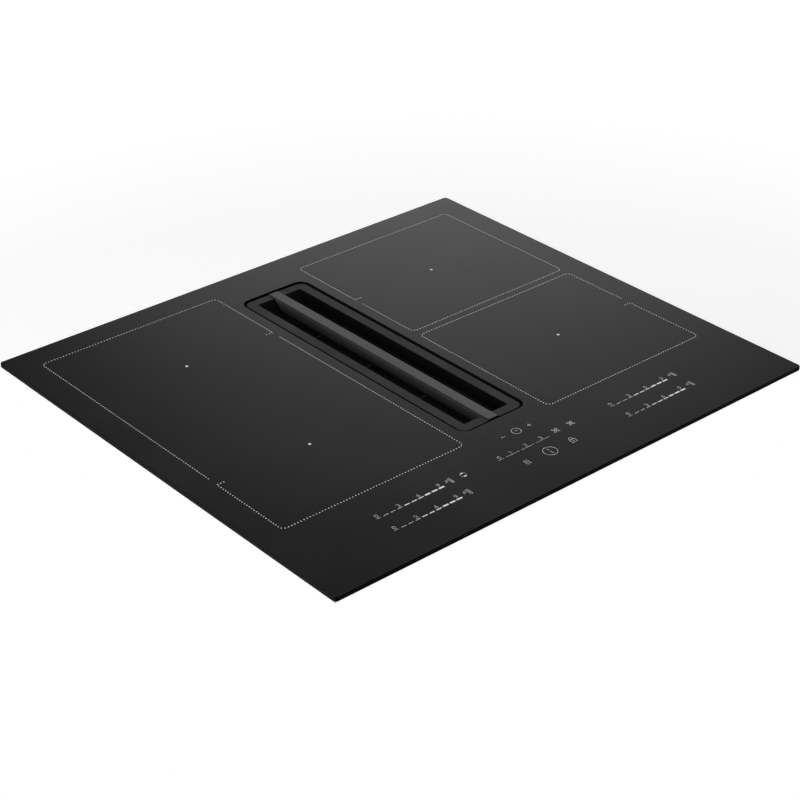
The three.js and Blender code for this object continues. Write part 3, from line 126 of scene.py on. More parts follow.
@dataclass(frozen=True)
class Finish:
    """A surface finish: a base colour, its gloss and the pattern of its making.

    grain_mm is the size of the pattern, stretch draws it out along an axis, and relief_mm is how deep
    it lies. mottle darkens and lightens the colour, and gloss_spread does the same to the roughness.
    """

    name: str
    colour: str
    roughness: float
    metallic: float = 0.0
    ior: float = 1.5
    specular: float = 0.5
    grain_mm: float = 1.0
    stretch: Point = (1.0, 1.0, 1.0)
    relief_mm: float = 0.02
    mottle: float = 0.08
    gloss_spread: float = 0.06
    wear_mm: float = 60.0

    # Where noise begins and ends to count: pattern and drift added, and the drift by itself
    BOTH = (0.6, 1.4)
    DRIFT = (0.35, 0.65)
    SMOOTHEST = 0.02

    def material(self) -> bpy.types.Material:
        """The finish's material, made the first time that it is asked for.

        Returns:
            The material.
        """
        made = bpy.data.materials.get(self.name)
        if made:
            return made
        made = bpy.data.materials.new(self.name)
        made.use_nodes = True
        tree = made.node_tree
        shader = tree.nodes["Principled BSDF"]
        shader.inputs["Metallic"].default_value = self.metallic
        shader.inputs["Specular IOR Level"].default_value = self.specular
        if not self.metallic:
            shader.inputs["IOR"].default_value = self.ior
        place = add_node(tree, "ShaderNodeTexCoord").outputs["Object"]
        self.apply(tree, shader, self.pattern(tree, place), self.cloud(tree, place))
        made.diffuse_color = (*linear(self.colour)[:3], 1.0)
        return made

    def pattern(self, tree: bpy.types.NodeTree, place: Socket) -> Socket:
        """The fine pattern: even grain unless a finish has its own.

        Args:
            tree: The material's tree.
            place: Object coordinates, in metres.

        Returns:
            The pattern, from 0 to 1.
        """
        mapped = add_node(tree, "ShaderNodeMapping", {}, {"Vector": place, "Scale": self.stretch})
        noise = add_node(tree, "ShaderNodeTexNoise", {}, {
            "Vector": mapped.outputs["Vector"],
            "Scale": 1 / (self.grain_mm * MM),
            "Detail": 3.0,
            "Roughness": 0.6,
        })
        return noise.outputs["Fac"]

    def cloud(self, tree: bpy.types.NodeTree, place: Socket) -> Socket:
        """A slow drift over the surface.

        Args:
            tree: The material's tree.
            place: Object coordinates, in metres.

        Returns:
            The drift, from 0 to 1.
        """
        noise = add_node(tree, "ShaderNodeTexNoise", {}, {
            "Vector": place, "Scale": 1 / (self.wear_mm * MM), "Detail": 4.0, "Roughness": 0.55,
        })
        return noise.outputs["Fac"]

    def apply(self, tree: bpy.types.NodeTree, shader: bpy.types.Node, grain: Socket,
              cloud: Socket) -> None:
        """Lets a pattern and a drift shade the colour, the gloss and the relief.

        Args:
            tree: The material's tree.
            shader: Its surface shader.
            grain: The pattern.
            cloud: The drift.
        """
        both = add_node(tree, "ShaderNodeMath", {"operation": "ADD"}, {0: grain, 1: cloud})
        shade = add_node(tree, "ShaderNodeMapRange", {}, {
            "Value": both.outputs[0], "From Min": self.BOTH[0], "From Max": self.BOTH[1],
            "To Min": 1 - self.mottle, "To Max": 1 + self.mottle,
        })
        colour = add_node(tree, "ShaderNodeVectorMath", {"operation": "SCALE"}, {
            0: linear(self.colour)[:3], "Scale": shade.outputs[0],
        })
        tree.links.new(colour.outputs[0], shader.inputs["Base Color"])
        gloss = add_node(tree, "ShaderNodeMapRange", {}, {
            "Value": cloud, "From Min": self.DRIFT[0], "From Max": self.DRIFT[1],
            "To Min": max(self.roughness - self.gloss_spread, self.SMOOTHEST),
            "To Max": min(self.roughness + self.gloss_spread, 1.0),
        })
        tree.links.new(gloss.outputs[0], shader.inputs["Roughness"])
        if self.relief_mm:
            bump = add_node(tree, "ShaderNodeBump", {}, {
                "Height": grain, "Distance": self.relief_mm * MM, "Strength": 1.0,
            })
            tree.links.new(bump.outputs["Normal"], shader.inputs["Normal"])


@dataclass(frozen=True)
class Spangled(Finish):
    """Zinc-dipped sheet: crystals a few millimetres wide, each with its own tone."""

    def pattern(self, tree: bpy.types.NodeTree, place: Socket) -> Socket:
        """A tone for each crystal.

        Args:
            tree: The material's tree.
            place: Object coordinates, in metres.

        Returns:
            The tone, from 0 to 1.
        """
        cells = add_node(tree, "ShaderNodeTexVoronoi", {"feature": "F1"}, {
            "Vector": place, "Scale": 1 / (self.grain_mm * MM), "Randomness": 1.0,
        })
        tone = add_node(tree, "ShaderNodeSeparateColor", {}, {"Color": cells.outputs["Color"]})
        return tone.outputs["Red"]


@dataclass(frozen=True)
class Pitted(Finish):
    """Closed-cell foam or a die-cast skin: round cells with darker rims."""

    # How far from its middle a cell ends, as a share of its size
    RIM = 0.8

    def pattern(self, tree: bpy.types.NodeTree, place: Socket) -> Socket:
        """Distance from the middle of each cell.

        Args:
            tree: The material's tree.
            place: Object coordinates, in metres.

        Returns:
            The distance, from 0 in the middle to 1 at the rim.
        """
        cells = add_node(tree, "ShaderNodeTexVoronoi", {"feature": "SMOOTH_F1"}, {
            "Vector": place, "Scale": 1 / (self.grain_mm * MM), "Randomness": 1.0,
        })
        rims = add_node(tree, "ShaderNodeMapRange", {}, {
            "Value": cells.outputs["Distance"], "From Min": 0.0, "From Max": self.RIM,
            "To Min": 0.0, "To Max": 1.0,
        })
        return rims.outputs[0]


@dataclass(frozen=True)
class Tracked(Finish):
    """Solder mask over copper tracks: straight runs that turn at right angles."""

    # A track's flat top and the foot of its flanks, as shares of the pitch
    CREST, FOOT = 0.12, 0.16
    # How uneven the rows are
    UNEVEN = 0.7

    def pattern(self, tree: bpy.types.NodeTree, place: Socket) -> Socket:
        """Raised tracks, from the borders of square-sided cells.

        Args:
            tree: The material's tree.
            place: Object coordinates, in metres.

        Returns:
            The relief, 1 on a track and 0 beside it.
        """
        second, first = (
            add_node(tree, "ShaderNodeTexVoronoi", {"feature": feature, "distance": "MANHATTAN"}, {
                "Vector": place, "Scale": 1 / (self.grain_mm * MM), "Randomness": self.UNEVEN,
            }) for feature in ("F2", "F1"))
        gap = add_node(tree, "ShaderNodeMath", {"operation": "SUBTRACT"}, {
            0: second.outputs["Distance"], 1: first.outputs["Distance"],
        })
        tracks = add_node(tree, "ShaderNodeMapRange", {}, {
            "Value": gap.outputs[0], "From Min": self.CREST, "From Max": self.FOOT,
            "To Min": 1.0, "To Max": 0.0,
        })
        return tracks.outputs[0]


@dataclass(frozen=True)
class Stranded(Finish):
    """Enamelled litz wire: fine strands that twist round each other."""

    # Bands that the wave texture lays in one unit of length
    BANDS = 6.3

    def pattern(self, tree: bpy.types.NodeTree, place: Socket) -> Socket:
        """Diagonal strands.

        Args:
            tree: The material's tree.
            place: Object coordinates, in metres.

        Returns:
            The height across the strands, from 0 to 1.
        """
        wave = add_node(tree, "ShaderNodeTexWave", {"bands_direction": "DIAGONAL"}, {
            "Vector": place, "Scale": 1 / (self.grain_mm * MM) / self.BANDS,
            "Distortion": 1.5, "Detail": 1.0,
        })
        return wave.outputs["Fac"]


class Finishes:
    """Every finish on the hob, with what its making gives the eye."""

    # Black glass-ceramic, ceramised and etched: near-black body under a satin skin that spreads light
    GLASS = Finish("glass_ceramic_satin_black", "070707", 0.30, grain_mm=0.9, relief_mm=0.0,
                   mottle=0.25, gloss_spread=0.012, wear_mm=90.0)
    # The same glass ground along its sides and left matt: greyer where the grinding opened the skin
    GLASS_EDGE = Finish("glass_ceramic_ground_edge", "0c0c0d", 0.55, specular=0.18, grain_mm=0.5,
                        relief_mm=0.01, mottle=0.2)
    # Front and back edges: a darker, duller copy of the ground edge, painted shade where those edges face
    # away from the light
    GLASS_POLISHED = Finish("glass_ceramic_polished_edge", "020202", 0.35, specular=0.04, grain_mm=0.5,
                            relief_mm=0.0, mottle=0.1)
    # Ceramic screen print, fired in: an opaque, slightly raised white
    PRINT = Finish("enamel_screen_print_white", "f8f8f8", 0.6, grain_mm=0.4, relief_mm=0.0, mottle=0.02)
    # Die-cast aluminium under black satin enamel, as its lit top face shows it: faint orange peel
    GRILLE = Finish("cast_aluminium_rubbed_enamel", "2a2a2b", 0.55, specular=0.35, grain_mm=0.7,
                    relief_mm=0.012, mottle=0.06)
    # A darker copy of the same enamel on the walls and notches: painted shade, deep black
    GRILLE_SIDE = Finish("cast_aluminium_deep_enamel", "0d0d0e", 0.5, specular=0.3, grain_mm=0.7,
                         relief_mm=0.012, mottle=0.06)
    # Extruded aluminium, bead-blasted and anodised dark: fine lines along the draw
    BAR = Finish("extruded_aluminium_dark_anodised", "5e5e5f", 0.62, metallic=0.2, grain_mm=0.5,
                 stretch=(1.0, 0.04, 1.0), relief_mm=0.004, mottle=0.04)
    # A darker copy of the bar's finish on its chamfers and ends: painted shade, a little smoother
    BAR_CUT = Finish("milled_aluminium_dark_anodised", "2e2e2f", 0.5, metallic=0.3, grain_mm=0.5,
                     stretch=(1.0, 0.04, 1.0), relief_mm=0.004, mottle=0.06)
    # Moulded heat-resistant PA66 in black: fine spark-eroded texture
    BLACK_PLASTIC = Finish("moulded_polyamide_black", "242527", 0.50, grain_mm=0.6, relief_mm=0.02,
                           mottle=0.10)
    # Glass-filled PBT in grey: fibres show as faint streaks
    GREY_PLASTIC = Finish("moulded_polyester_grey", "54575a", 0.55, grain_mm=1.2,
                          stretch=(1.0, 0.35, 1.0), relief_mm=0.02, mottle=0.10)
    # Pressed aluminium sheet, dulled by washing
    FILTER = Finish("pressed_aluminium_dull", "3a3b3c", 0.55, metallic=0.6, grain_mm=1.5,
                    stretch=(1.0, 0.3, 1.0), relief_mm=0.02, mottle=0.15, gloss_spread=0.1)
    # Expanded sheet and knitted pleats, darkened as painted shade for the holes and the gaps between the
    # pleats
    FILTER_MESH = Finish("expanded_aluminium_dark_dipped", "1a1a1b", 0.6, metallic=0.3, specular=0.25,
                         grain_mm=1.0, relief_mm=0.02, mottle=0.12)
    # Hot-dip galvanised sheet steel: spangle crystals 6 mm wide, whitened by a thin oxide
    ZINC = Spangled("galvanised_sheet_steel", "b9bcbe", 0.45, metallic=0.55, grain_mm=6.0,
                    relief_mm=0.004, mottle=0.09, gloss_spread=0.08)
    # Tempered spring steel, rolled bright
    SPRING = Finish("spring_steel_rolled", "b4b6b8", 0.32, metallic=0.7, grain_mm=0.8,
                    stretch=(1.0, 1.0, 0.05), relief_mm=0.004, mottle=0.10)
    # Mill-finish aluminium: faint rolling lines
    ALUMINIUM = Finish("rolled_aluminium_mill", "c2c4c6", 0.40, metallic=0.7, grain_mm=0.9,
                       stretch=(1.0, 0.03, 1.0), relief_mm=0.006, mottle=0.10, gloss_spread=0.08)
    # Copper litz in clear enamel
    COPPER = Stranded("enamelled_copper_litz", "b4683a", 0.38, metallic=0.85, grain_mm=1.0,
                      relief_mm=0.08, mottle=0.25)
    # Sintered ferrite: charcoal, dense and faintly glossy
    FERRITE = Finish("sintered_ferrite", "2b2b2d", 0.45, grain_mm=0.5, relief_mm=0.01, mottle=0.12)
    # Capacitor sleeves: shrunk PET film
    SLEEVE = Finish("shrink_sleeve_blue_grey", "39424c", 0.3, grain_mm=2.0, relief_mm=0.01)
    # The cap that presses the temperature sensor to the glass
    SENSOR = Finish("silicone_cap_dark", "2a2b2c", 0.7, grain_mm=0.8, relief_mm=0.01, mottle=0.15)
    # Pressed mica sheet: overlapping flakes in a pale binder
    MICA = Spangled("pressed_mica_sheet", "cfc6ae", 0.5, grain_mm=3.0, relief_mm=0.01, mottle=0.16)
    # Thermoset terminal block
    THERMOSET = Finish("moulded_thermoset_ivory", "d9d3c2", 0.45, grain_mm=0.8, relief_mm=0.01)
    # Fibreglass board under green solder mask
    BOARD = Tracked("circuit_board_solder_mask", "1d5b38", 0.35, grain_mm=6.0, relief_mm=0.04, mottle=0.30)
    # Cast silicone bead
    SILICONE = Finish("silicone_bead_black", "1b1b1c", 0.62, grain_mm=4.0, relief_mm=0.1, mottle=0.06)
    # Closed-cell foam tape
    FOAM = Pitted("closed_cell_foam_tape", "262627", 0.95, grain_mm=1.0, relief_mm=0.25, mottle=0.2)


# ---------------------------------------------------------------- mesh building


def outline(half_x: float, half_y: float, radius: float, z: float, centre: Plan = (0.0, 0.0),
            steps: int = 10) -> list[Point]:
    """Points round a rectangle with rounded corners, anticlockwise from above.

    Args:
        half_x: Half its width.
        half_y: Half its depth.
        radius: Corner radius.
        z: Height of the points.
        centre: Middle of the rectangle.
        steps: Faces round a corner.

    Returns:
        The points in millimetres, as many for every radius.
    """
    points = []
    for corner in range(4):
        sign_x = 1 if corner in (0, 3) else -1
        sign_y = 1 if corner < 2 else -1
        for step in range(steps + 1):
            angle = (corner + step / steps) * math.pi / 2
            points.append((
                centre[0] + sign_x * (half_x - radius) + radius * math.cos(angle),
                centre[1] + sign_y * (half_y - radius) + radius * math.sin(angle),
                z,
            ))
    return points


def fillet(inward: bool, radius: float, steps: int = 4) -> list[Plan]:
    """Steps of a rounded edge from a side face up to a top face.

    Args:
        inward: Whether the top face lies inside the side face.
        radius: The edge's radius.
        steps: Faces round the edge.

    Returns:
        Pairs of the move outwards and the drop below the top.
    """
    sign = -1 if inward else 1
    return [(
        sign * radius * (1 - math.cos(step / steps * math.pi / 2)),
        radius * (1 - math.sin(step / steps * math.pi / 2)),
    ) for step in range(steps + 1)]


def new_object(name: str, mesh: bpy.types.Mesh) -> bpy.types.Object:
    """Links a mesh to the scene.

    Args:
        name: The object's name.
        mesh: Its mesh.

    Returns:
        The object.
    """
    made = bpy.data.objects.new(name, mesh)
    bpy.context.scene.collection.objects.link(made)
    return made


def mesh_piece(name: str, points: list[Point], faces: list[tuple[int, ...]]) -> bpy.types.Object:
    """An object from points in millimetres, its faces turned outwards.

    Args:
        name: The piece's name.
        points: Its corners.
        faces: Corner numbers of each face.

    Returns:
        The object, at the origin.
    """
    mesh = bpy.data.meshes.new(name)
    mesh.from_pydata([Vector(point) * MM for point in points], [], faces)
    work = bmesh.new()
    work.from_mesh(mesh)
    bmesh.ops.remove_doubles(work, verts=work.verts, dist=MERGE)
    bmesh.ops.recalc_face_normals(work, faces=work.faces)
    work.to_mesh(mesh)
    work.free()
    return new_object(name, mesh)


def walls(low: int, high: int, size: int) -> list[tuple[int, ...]]:
    """Faces between two loops of equal length.

    Args:
        low: Number of the first loop's first corner.
        high: Number of the second loop's first corner.
        size: Corners in a loop.

    Returns:
        Corner numbers of each face.
    """
    return [(low + step, low + (step + 1) % size, high + (step + 1) % size, high + step)
            for step in range(size)]


def loft(name: str, loops: list[list[Point]], ring: bool = False) -> bpy.types.Object:
    """A body drawn through closed loops of equal length.

    Args:
        name: The piece's name.
        loops: The loops in order.
        ring: Whether the last loop joins the first; otherwise both ends are capped.

    Returns:
        The object.
    """
    size = len(loops[0])
    points = [point for loop in loops for point in loop]
    faces: list[tuple[int, ...]] = []
    for index in range(len(loops) if ring else len(loops) - 1):
        faces += walls(index * size, (index + 1) % len(loops) * size, size)
    if not ring:
        faces.append(tuple(reversed(range(size))))
        faces.append(tuple(range((len(loops) - 1) * size, len(loops) * size)))
    return mesh_piece(name, points, faces)


def evaluated(made: bpy.types.Object, name: str) -> bpy.types.Object:
    """Replaces an object by a plain one with its modifiers applied.

    Args:
        made: The object with modifiers, which is removed.
        name: The new object's name.

    Returns:
        The plain object.
    """
    bpy.context.view_layer.update()
    graph = bpy.context.evaluated_depsgraph_get()
    mesh = bpy.data.meshes.new_from_object(made.evaluated_get(graph), depsgraph=graph)
    bpy.data.objects.remove(made)
    mesh.name = name
    return new_object(name, mesh)


def shade(made: bpy.types.Object, degrees: float = SMOOTH) -> bpy.types.Object:
    """Shades an object smooth across edges flatter than an angle, its broad faces kept flat.

    Args:
        made: The object, which is replaced.
        degrees: The angle.

    Returns:
        The shaded object, whose normals lean towards its larger faces.
    """
    work = bmesh.new()
    work.from_mesh(made.data)
    limit = math.radians(degrees)
    for face in work.faces:
        face.smooth = True
    for edge in work.edges:
        edge.smooth = edge.is_manifold and edge.calc_face_angle(0.0) < limit
    work.to_mesh(made.data)
    work.free()
    name = made.name
    level = made.modifiers.new("level", "WEIGHTED_NORMAL")
    level.keep_sharp = True
    made.name = name + "_facets"
    return evaluated(made, name)


def soften(made: bpy.types.Object, width_mm: float, segments: int = 2) -> bpy.types.Object:
    """Rounds an object's sharp edges by a small radius.

    Args:
        made: The object, which is replaced.
        width_mm: The radius.
        segments: Faces round an edge.

    Returns:
        The rounded object.
    """
    name = made.name
    bevel = made.modifiers.new("edges", "BEVEL")
    bevel.width = width_mm * MM
    bevel.segments = segments
    bevel.limit_method = "ANGLE"
    bevel.angle_limit = math.radians(SHARP)
    bevel.miter_outer = "MITER_ARC"
    made.name = name + "_sharp"
    return evaluated(made, name)


def copy_of(node: str, name: str) -> bpy.types.Object:
    """A merged copy of a node's mesh with its flat faces whole again.

    Args:
        node: The node's name.
        name: The copy's name.

    Returns:
        The copy.
    """
    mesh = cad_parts[node].data.copy()
    mesh.materials.clear()
    work = bmesh.new()
    work.from_mesh(mesh)
    bmesh.ops.remove_doubles(work, verts=work.verts, dist=NODE_MERGE)
    bmesh.ops.dissolve_limit(work, angle_limit=math.radians(FLAT), verts=work.verts, edges=work.edges)
    work.to_mesh(mesh)
    work.free()
    mesh.name = name
    return new_object(name, mesh)


def dress(made: bpy.types.Object, finish: Finish, body: str,
          replaces: tuple[str, ...] = (), degrees: float = SMOOTH) -> bpy.types.Object:
    """Gives a finished piece its finish and its place on a body, and reports it.

    Args:
        made: The piece.
        finish: Its finish.
        body: The body that it moves with.
        replaces: Nodes that it stands for.
        degrees: Edges flatter than this are shaded smooth.

    Returns:
        The piece.
    """
    if not made.data.materials:
        made.data.materials.append(finish.material())
    made = shade(made, degrees)
    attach(made, body)
    if replaces:
        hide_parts(*replaces)
    LOG.info("%s on %s: %d faces", made.name, body, len(made.data.polygons))
    return made


def circle(radius: float, z: float, centre: Plan = (0.0, 0.0), steps: int = 48) -> list[Point]:
    """Points round a level circle, anticlockwise from above.

    Args:
        radius: Its radius.
        z: Its height.
        centre: Its middle.
        steps: How many points.

    Returns:
        The points in millimetres.
    """
    return [(
        centre[0] + radius * math.cos(2 * math.pi * step / steps),
        centre[1] + radius * math.sin(2 * math.pi * step / steps),
        z,
    ) for step in range(steps)]


def turned(name: str, profile: list[Plan], centre: Plan = (0.0, 0.0), steps: int = 48,
           ring: bool = True) -> bpy.types.Object:
    """A body turned about an upright axis.

    Args:
        name: The piece's name.
        profile: Pairs of radius and height.
        centre: Where the axis stands.
        steps: Faces round the axis.
        ring: Whether the profile closes on itself; otherwise its two ends are capped.

    Returns:
        The object.
    """
    return loft(name, [circle(radius, z, centre, steps) for radius, z in profile], ring)


@dataclass(frozen=True)
class Moulding:
    """A part that keeps the shape of its solid, with its edges rounded as its making leaves them."""

    node: str
    name: str
    finish: Finish
    body: str = "hob"
    slot: str | None = None
    radius: float = 0.4
    segments: int = 2

    def build(self) -> bpy.types.Object:
        """Makes the part in place of its node.

        Returns:
            The finished piece.
        """
        made = soften(copy_of(self.node, self.name), self.radius, self.segments)
        return dress(made, self.finish, self.body, (self.node,))


# ---------------------------------------------------------------- geometry trees


class GeometryTree:
    """A Geometry Nodes tree with named inputs that ends in real, finished faces."""

    def __init__(self, name: str) -> None:
        """Starts an empty tree.

        Args:
            name: The tree's name.
        """
        self.tree = bpy.data.node_groups.new(name, "GeometryNodeTree")
        self.tree.is_modifier = True
        self.tree.interface.new_socket("Geometry", in_out="INPUT", socket_type="NodeSocketGeometry")
        self.tree.interface.new_socket("Geometry", in_out="OUTPUT", socket_type="NodeSocketGeometry")
        self.keys: dict[str, str] = {}
        self.enter = self.tree.nodes.new("NodeGroupInput")
        self.leave = self.tree.nodes.new("NodeGroupOutput")

    def size(self, name: str, kind: str = "NodeSocketFloat") -> Socket:
        """Adds a named input.

        Args:
            name: Its name.
            kind: Its socket type.

        Returns:
            The input's socket inside the tree.
        """
        made = self.tree.interface.new_socket(name, in_out="INPUT", socket_type=kind)
        self.keys[name] = made.identifier
        return self.enter.outputs[name]

    def node(self, kind: str, settings: dict | None = None, inputs: dict | None = None) -> bpy.types.Node:
        """Adds a node to the tree."""
        return add_node(self.tree, kind, settings, inputs)

    def finish(self, geometry: Socket) -> None:
        """Ends the tree: copies are made real and get the finish.

        Args:
            geometry: What the tree makes.
        """
        paint = self.size("Finish", "NodeSocketMaterial")
        real = self.node("GeometryNodeRealizeInstances", {}, {"Geometry": geometry})
        done = self.node("GeometryNodeSetMaterial", {}, {"Geometry": real.outputs[0], "Material": paint})
        self.tree.links.new(done.outputs[0], self.leave.inputs[0])

    def build(self, host: bpy.types.Object, name: str, finish: Finish, **values: object) -> bpy.types.Object:
        """Runs the tree on an object and keeps the result as a plain mesh.

        Args:
            host: The object that the tree works on, which is removed.
            name: The new piece's name.
            finish: Its finish.
            **values: The tree's inputs by name, with _ for a blank.

        Returns:
            The new piece.
        """
        modifier = host.modifiers.new(name, "NODES")
        modifier.node_group = self.tree
        for key, value in values.items():
            modifier[self.keys[key.replace("_", " ")]] = value
        modifier[self.keys["Finish"]] = finish.material()
        return evaluated(host, name)


def paths(name: str, lines: list[tuple[list[Plan], bool]], z: float) -> bpy.types.Object:
    """A curve object of straight runs at one height.

    Args:
        name: The object's name.
        lines: Runs of points in millimetres, each with whether it closes.
        z: Their height.

    Returns:
        The curve object.
    """
    curve = bpy.data.curves.new(name, "CURVE")
    curve.dimensions = "3D"
    for points, closed in lines:
        run = curve.splines.new("POLY")
        run.points.add(len(points) - 1)
        for spot, (x, y) in zip(run.points, points):
            spot.co = (x * MM, y * MM, z * MM, 1.0)
        run.use_cyclic_u = closed
    made = bpy.data.objects.new(name, curve)
    bpy.context.scene.collection.objects.link(made)
    return made


def spots(name: str, places: list[Point]) -> bpy.types.Object:
    """A mesh of loose points.

    Args:
        name: The object's name.
        places: The points in millimetres.

    Returns:
        The object.
    """
    mesh = bpy.data.meshes.new(name)
    mesh.from_pydata([Vector(place) * MM for place in places], [], [])
    return new_object(name, mesh)


def dot_tree() -> GeometryTree:
    """Round dots set out evenly along paths. Inputs: Pitch, Radius and Height.

    Returns:
        The tree.
    """
    tree = GeometryTree("dots_on_path")
    pitch, radius, height = tree.size("Pitch"), tree.size("Radius"), tree.size("Height")
    even = tree.node("GeometryNodeResampleCurve", {"mode": "LENGTH"}, {
        "Curve": tree.enter.outputs["Geometry"], "Length": pitch,
    })
    dot = tree.node("GeometryNodeMeshCylinder", {}, {"Vertices": 8, "Radius": radius, "Depth": height})
    placed = tree.node("GeometryNodeInstanceOnPoints", {}, {
        "Points": even.outputs[0], "Instance": dot.outputs["Mesh"],
    })
    tree.finish(placed.outputs[0])
    return tree


def ribbon_tree() -> GeometryTree:
    """Flat strokes along paths. Inputs: Width and Height.

    Returns:
        The tree.
    """
    tree = GeometryTree("strokes_on_path")
    width, height = tree.size("Width"), tree.size("Height")
    section = tree.node("GeometryNodeCurvePrimitiveQuadrilateral", {"mode": "RECTANGLE"}, {
        "Width": width, "Height": height,
    })
    level = tree.node("GeometryNodeSetCurveNormal", {"mode": "Z_UP"}, {
        "Curve": tree.enter.outputs["Geometry"],
    })
    drawn = tree.node("GeometryNodeCurveToMesh", {}, {
        "Curve": level.outputs[0], "Profile Curve": section.outputs[0], "Fill Caps": True,
    })
    tree.finish(drawn.outputs[0])
    return tree


def scatter_tree() -> GeometryTree:
    """Copies of a template object on points. Inputs: Template and Turn, from one copy to the next.

    Returns:
        The tree.
    """
    tree = GeometryTree("copies_on_points")
    template = tree.size("Template", "NodeSocketObject")
    turn = tree.size("Turn")
    shape = tree.node("GeometryNodeObjectInfo", {}, {"Object": template})
    order = tree.node("GeometryNodeInputIndex")
    angle = tree.node("ShaderNodeMath", {"operation": "MULTIPLY"}, {0: order.outputs[0], 1: turn})
    spin = tree.node("ShaderNodeCombineXYZ", {}, {"Z": angle.outputs[0]})
    placed = tree.node("GeometryNodeInstanceOnPoints", {}, {
        "Points": tree.enter.outputs["Geometry"],
        "Instance": shape.outputs["Geometry"],
        "Rotation": spin.outputs[0],
    })
    tree.finish(placed.outputs[0])
    return tree


def scattered(name: str, template: bpy.types.Object, places: list[Point], finish: Finish,
              turn: float = 0.0) -> bpy.types.Object:
    """Copies of a template on points, as one piece.

    Args:
        name: The piece's name.
        template: What is copied, which is removed.
        places: Where the copies stand, in millimetres.
        finish: The piece's finish.
        turn: How far each copy is turned from the one before, in radians.

    Returns:
        The piece.
    """
    made = scatter_tree().build(spots(name + "_places", places), name, finish, Template=template, Turn=turn)
    bpy.data.objects.remove(template)
    return made


# ---------------------------------------------------------------- glass and its print


@dataclass
class GlassPane:
    """The bevelled glass-ceramic pane with its vent cut-out."""

    half_x: float = 295.0
    half_y: float = 260.0
    radius: float = 4.0
    under: float = 206.0
    top: float = 209.96
    arris: float = 0.5
    vent_half_x: float = 41.25
    vent_half_y: float = 171.0
    vent_radius: float = 11.0
    vent_centre: Plan = (0.0, 33.65)

    def ground_side(self, half_x: float, half_y: float, radius: float, centre: Plan,
                    inward: bool) -> list[list[Point]]:
        """Loops of one ground side.

        Args:
            half_x: Half the width that it goes round.
            half_y: Half the depth that it goes round.
            radius: Corner radius.
            centre: Middle of what it goes round.
            inward: Whether the glass lies inside it.

        Returns:
            The loops, from the underside to the top.
        """
        loops = [outline(half_x, half_y, radius, self.under, centre)]
        for move, drop in fillet(inward, self.arris):
            loops.append(outline(half_x + move, half_y + move, radius + move, self.top - drop, centre))
        return loops

    def build(self) -> None:
        """Draws the pane as a ring: ground left and right sides, and front and back edges in the darker copy
        that paints shade.
        """
        outer = self.ground_side(self.half_x, self.half_y, self.radius, (0.0, 0.0), True)
        inner = self.ground_side(self.vent_half_x, self.vent_half_y, self.vent_radius,
                                 self.vent_centre, False)
        pane = loft("glass_pane", outer + inner[::-1], ring=True)
        for finish in (Finishes.GLASS, Finishes.GLASS_EDGE, Finishes.GLASS_POLISHED):
            pane.data.materials.append(finish.material())
        # Upright faces: left and right sides take the ground edge, front and back the darker copy as painted
        # shade
        for face in pane.data.polygons:
            if abs(face.normal.z) < LEVEL:
                face.material_index = 1 if abs(face.normal.x) > abs(face.normal.y) else 2
        dress(pane, Finishes.GLASS, "hob", ("glass_top",))


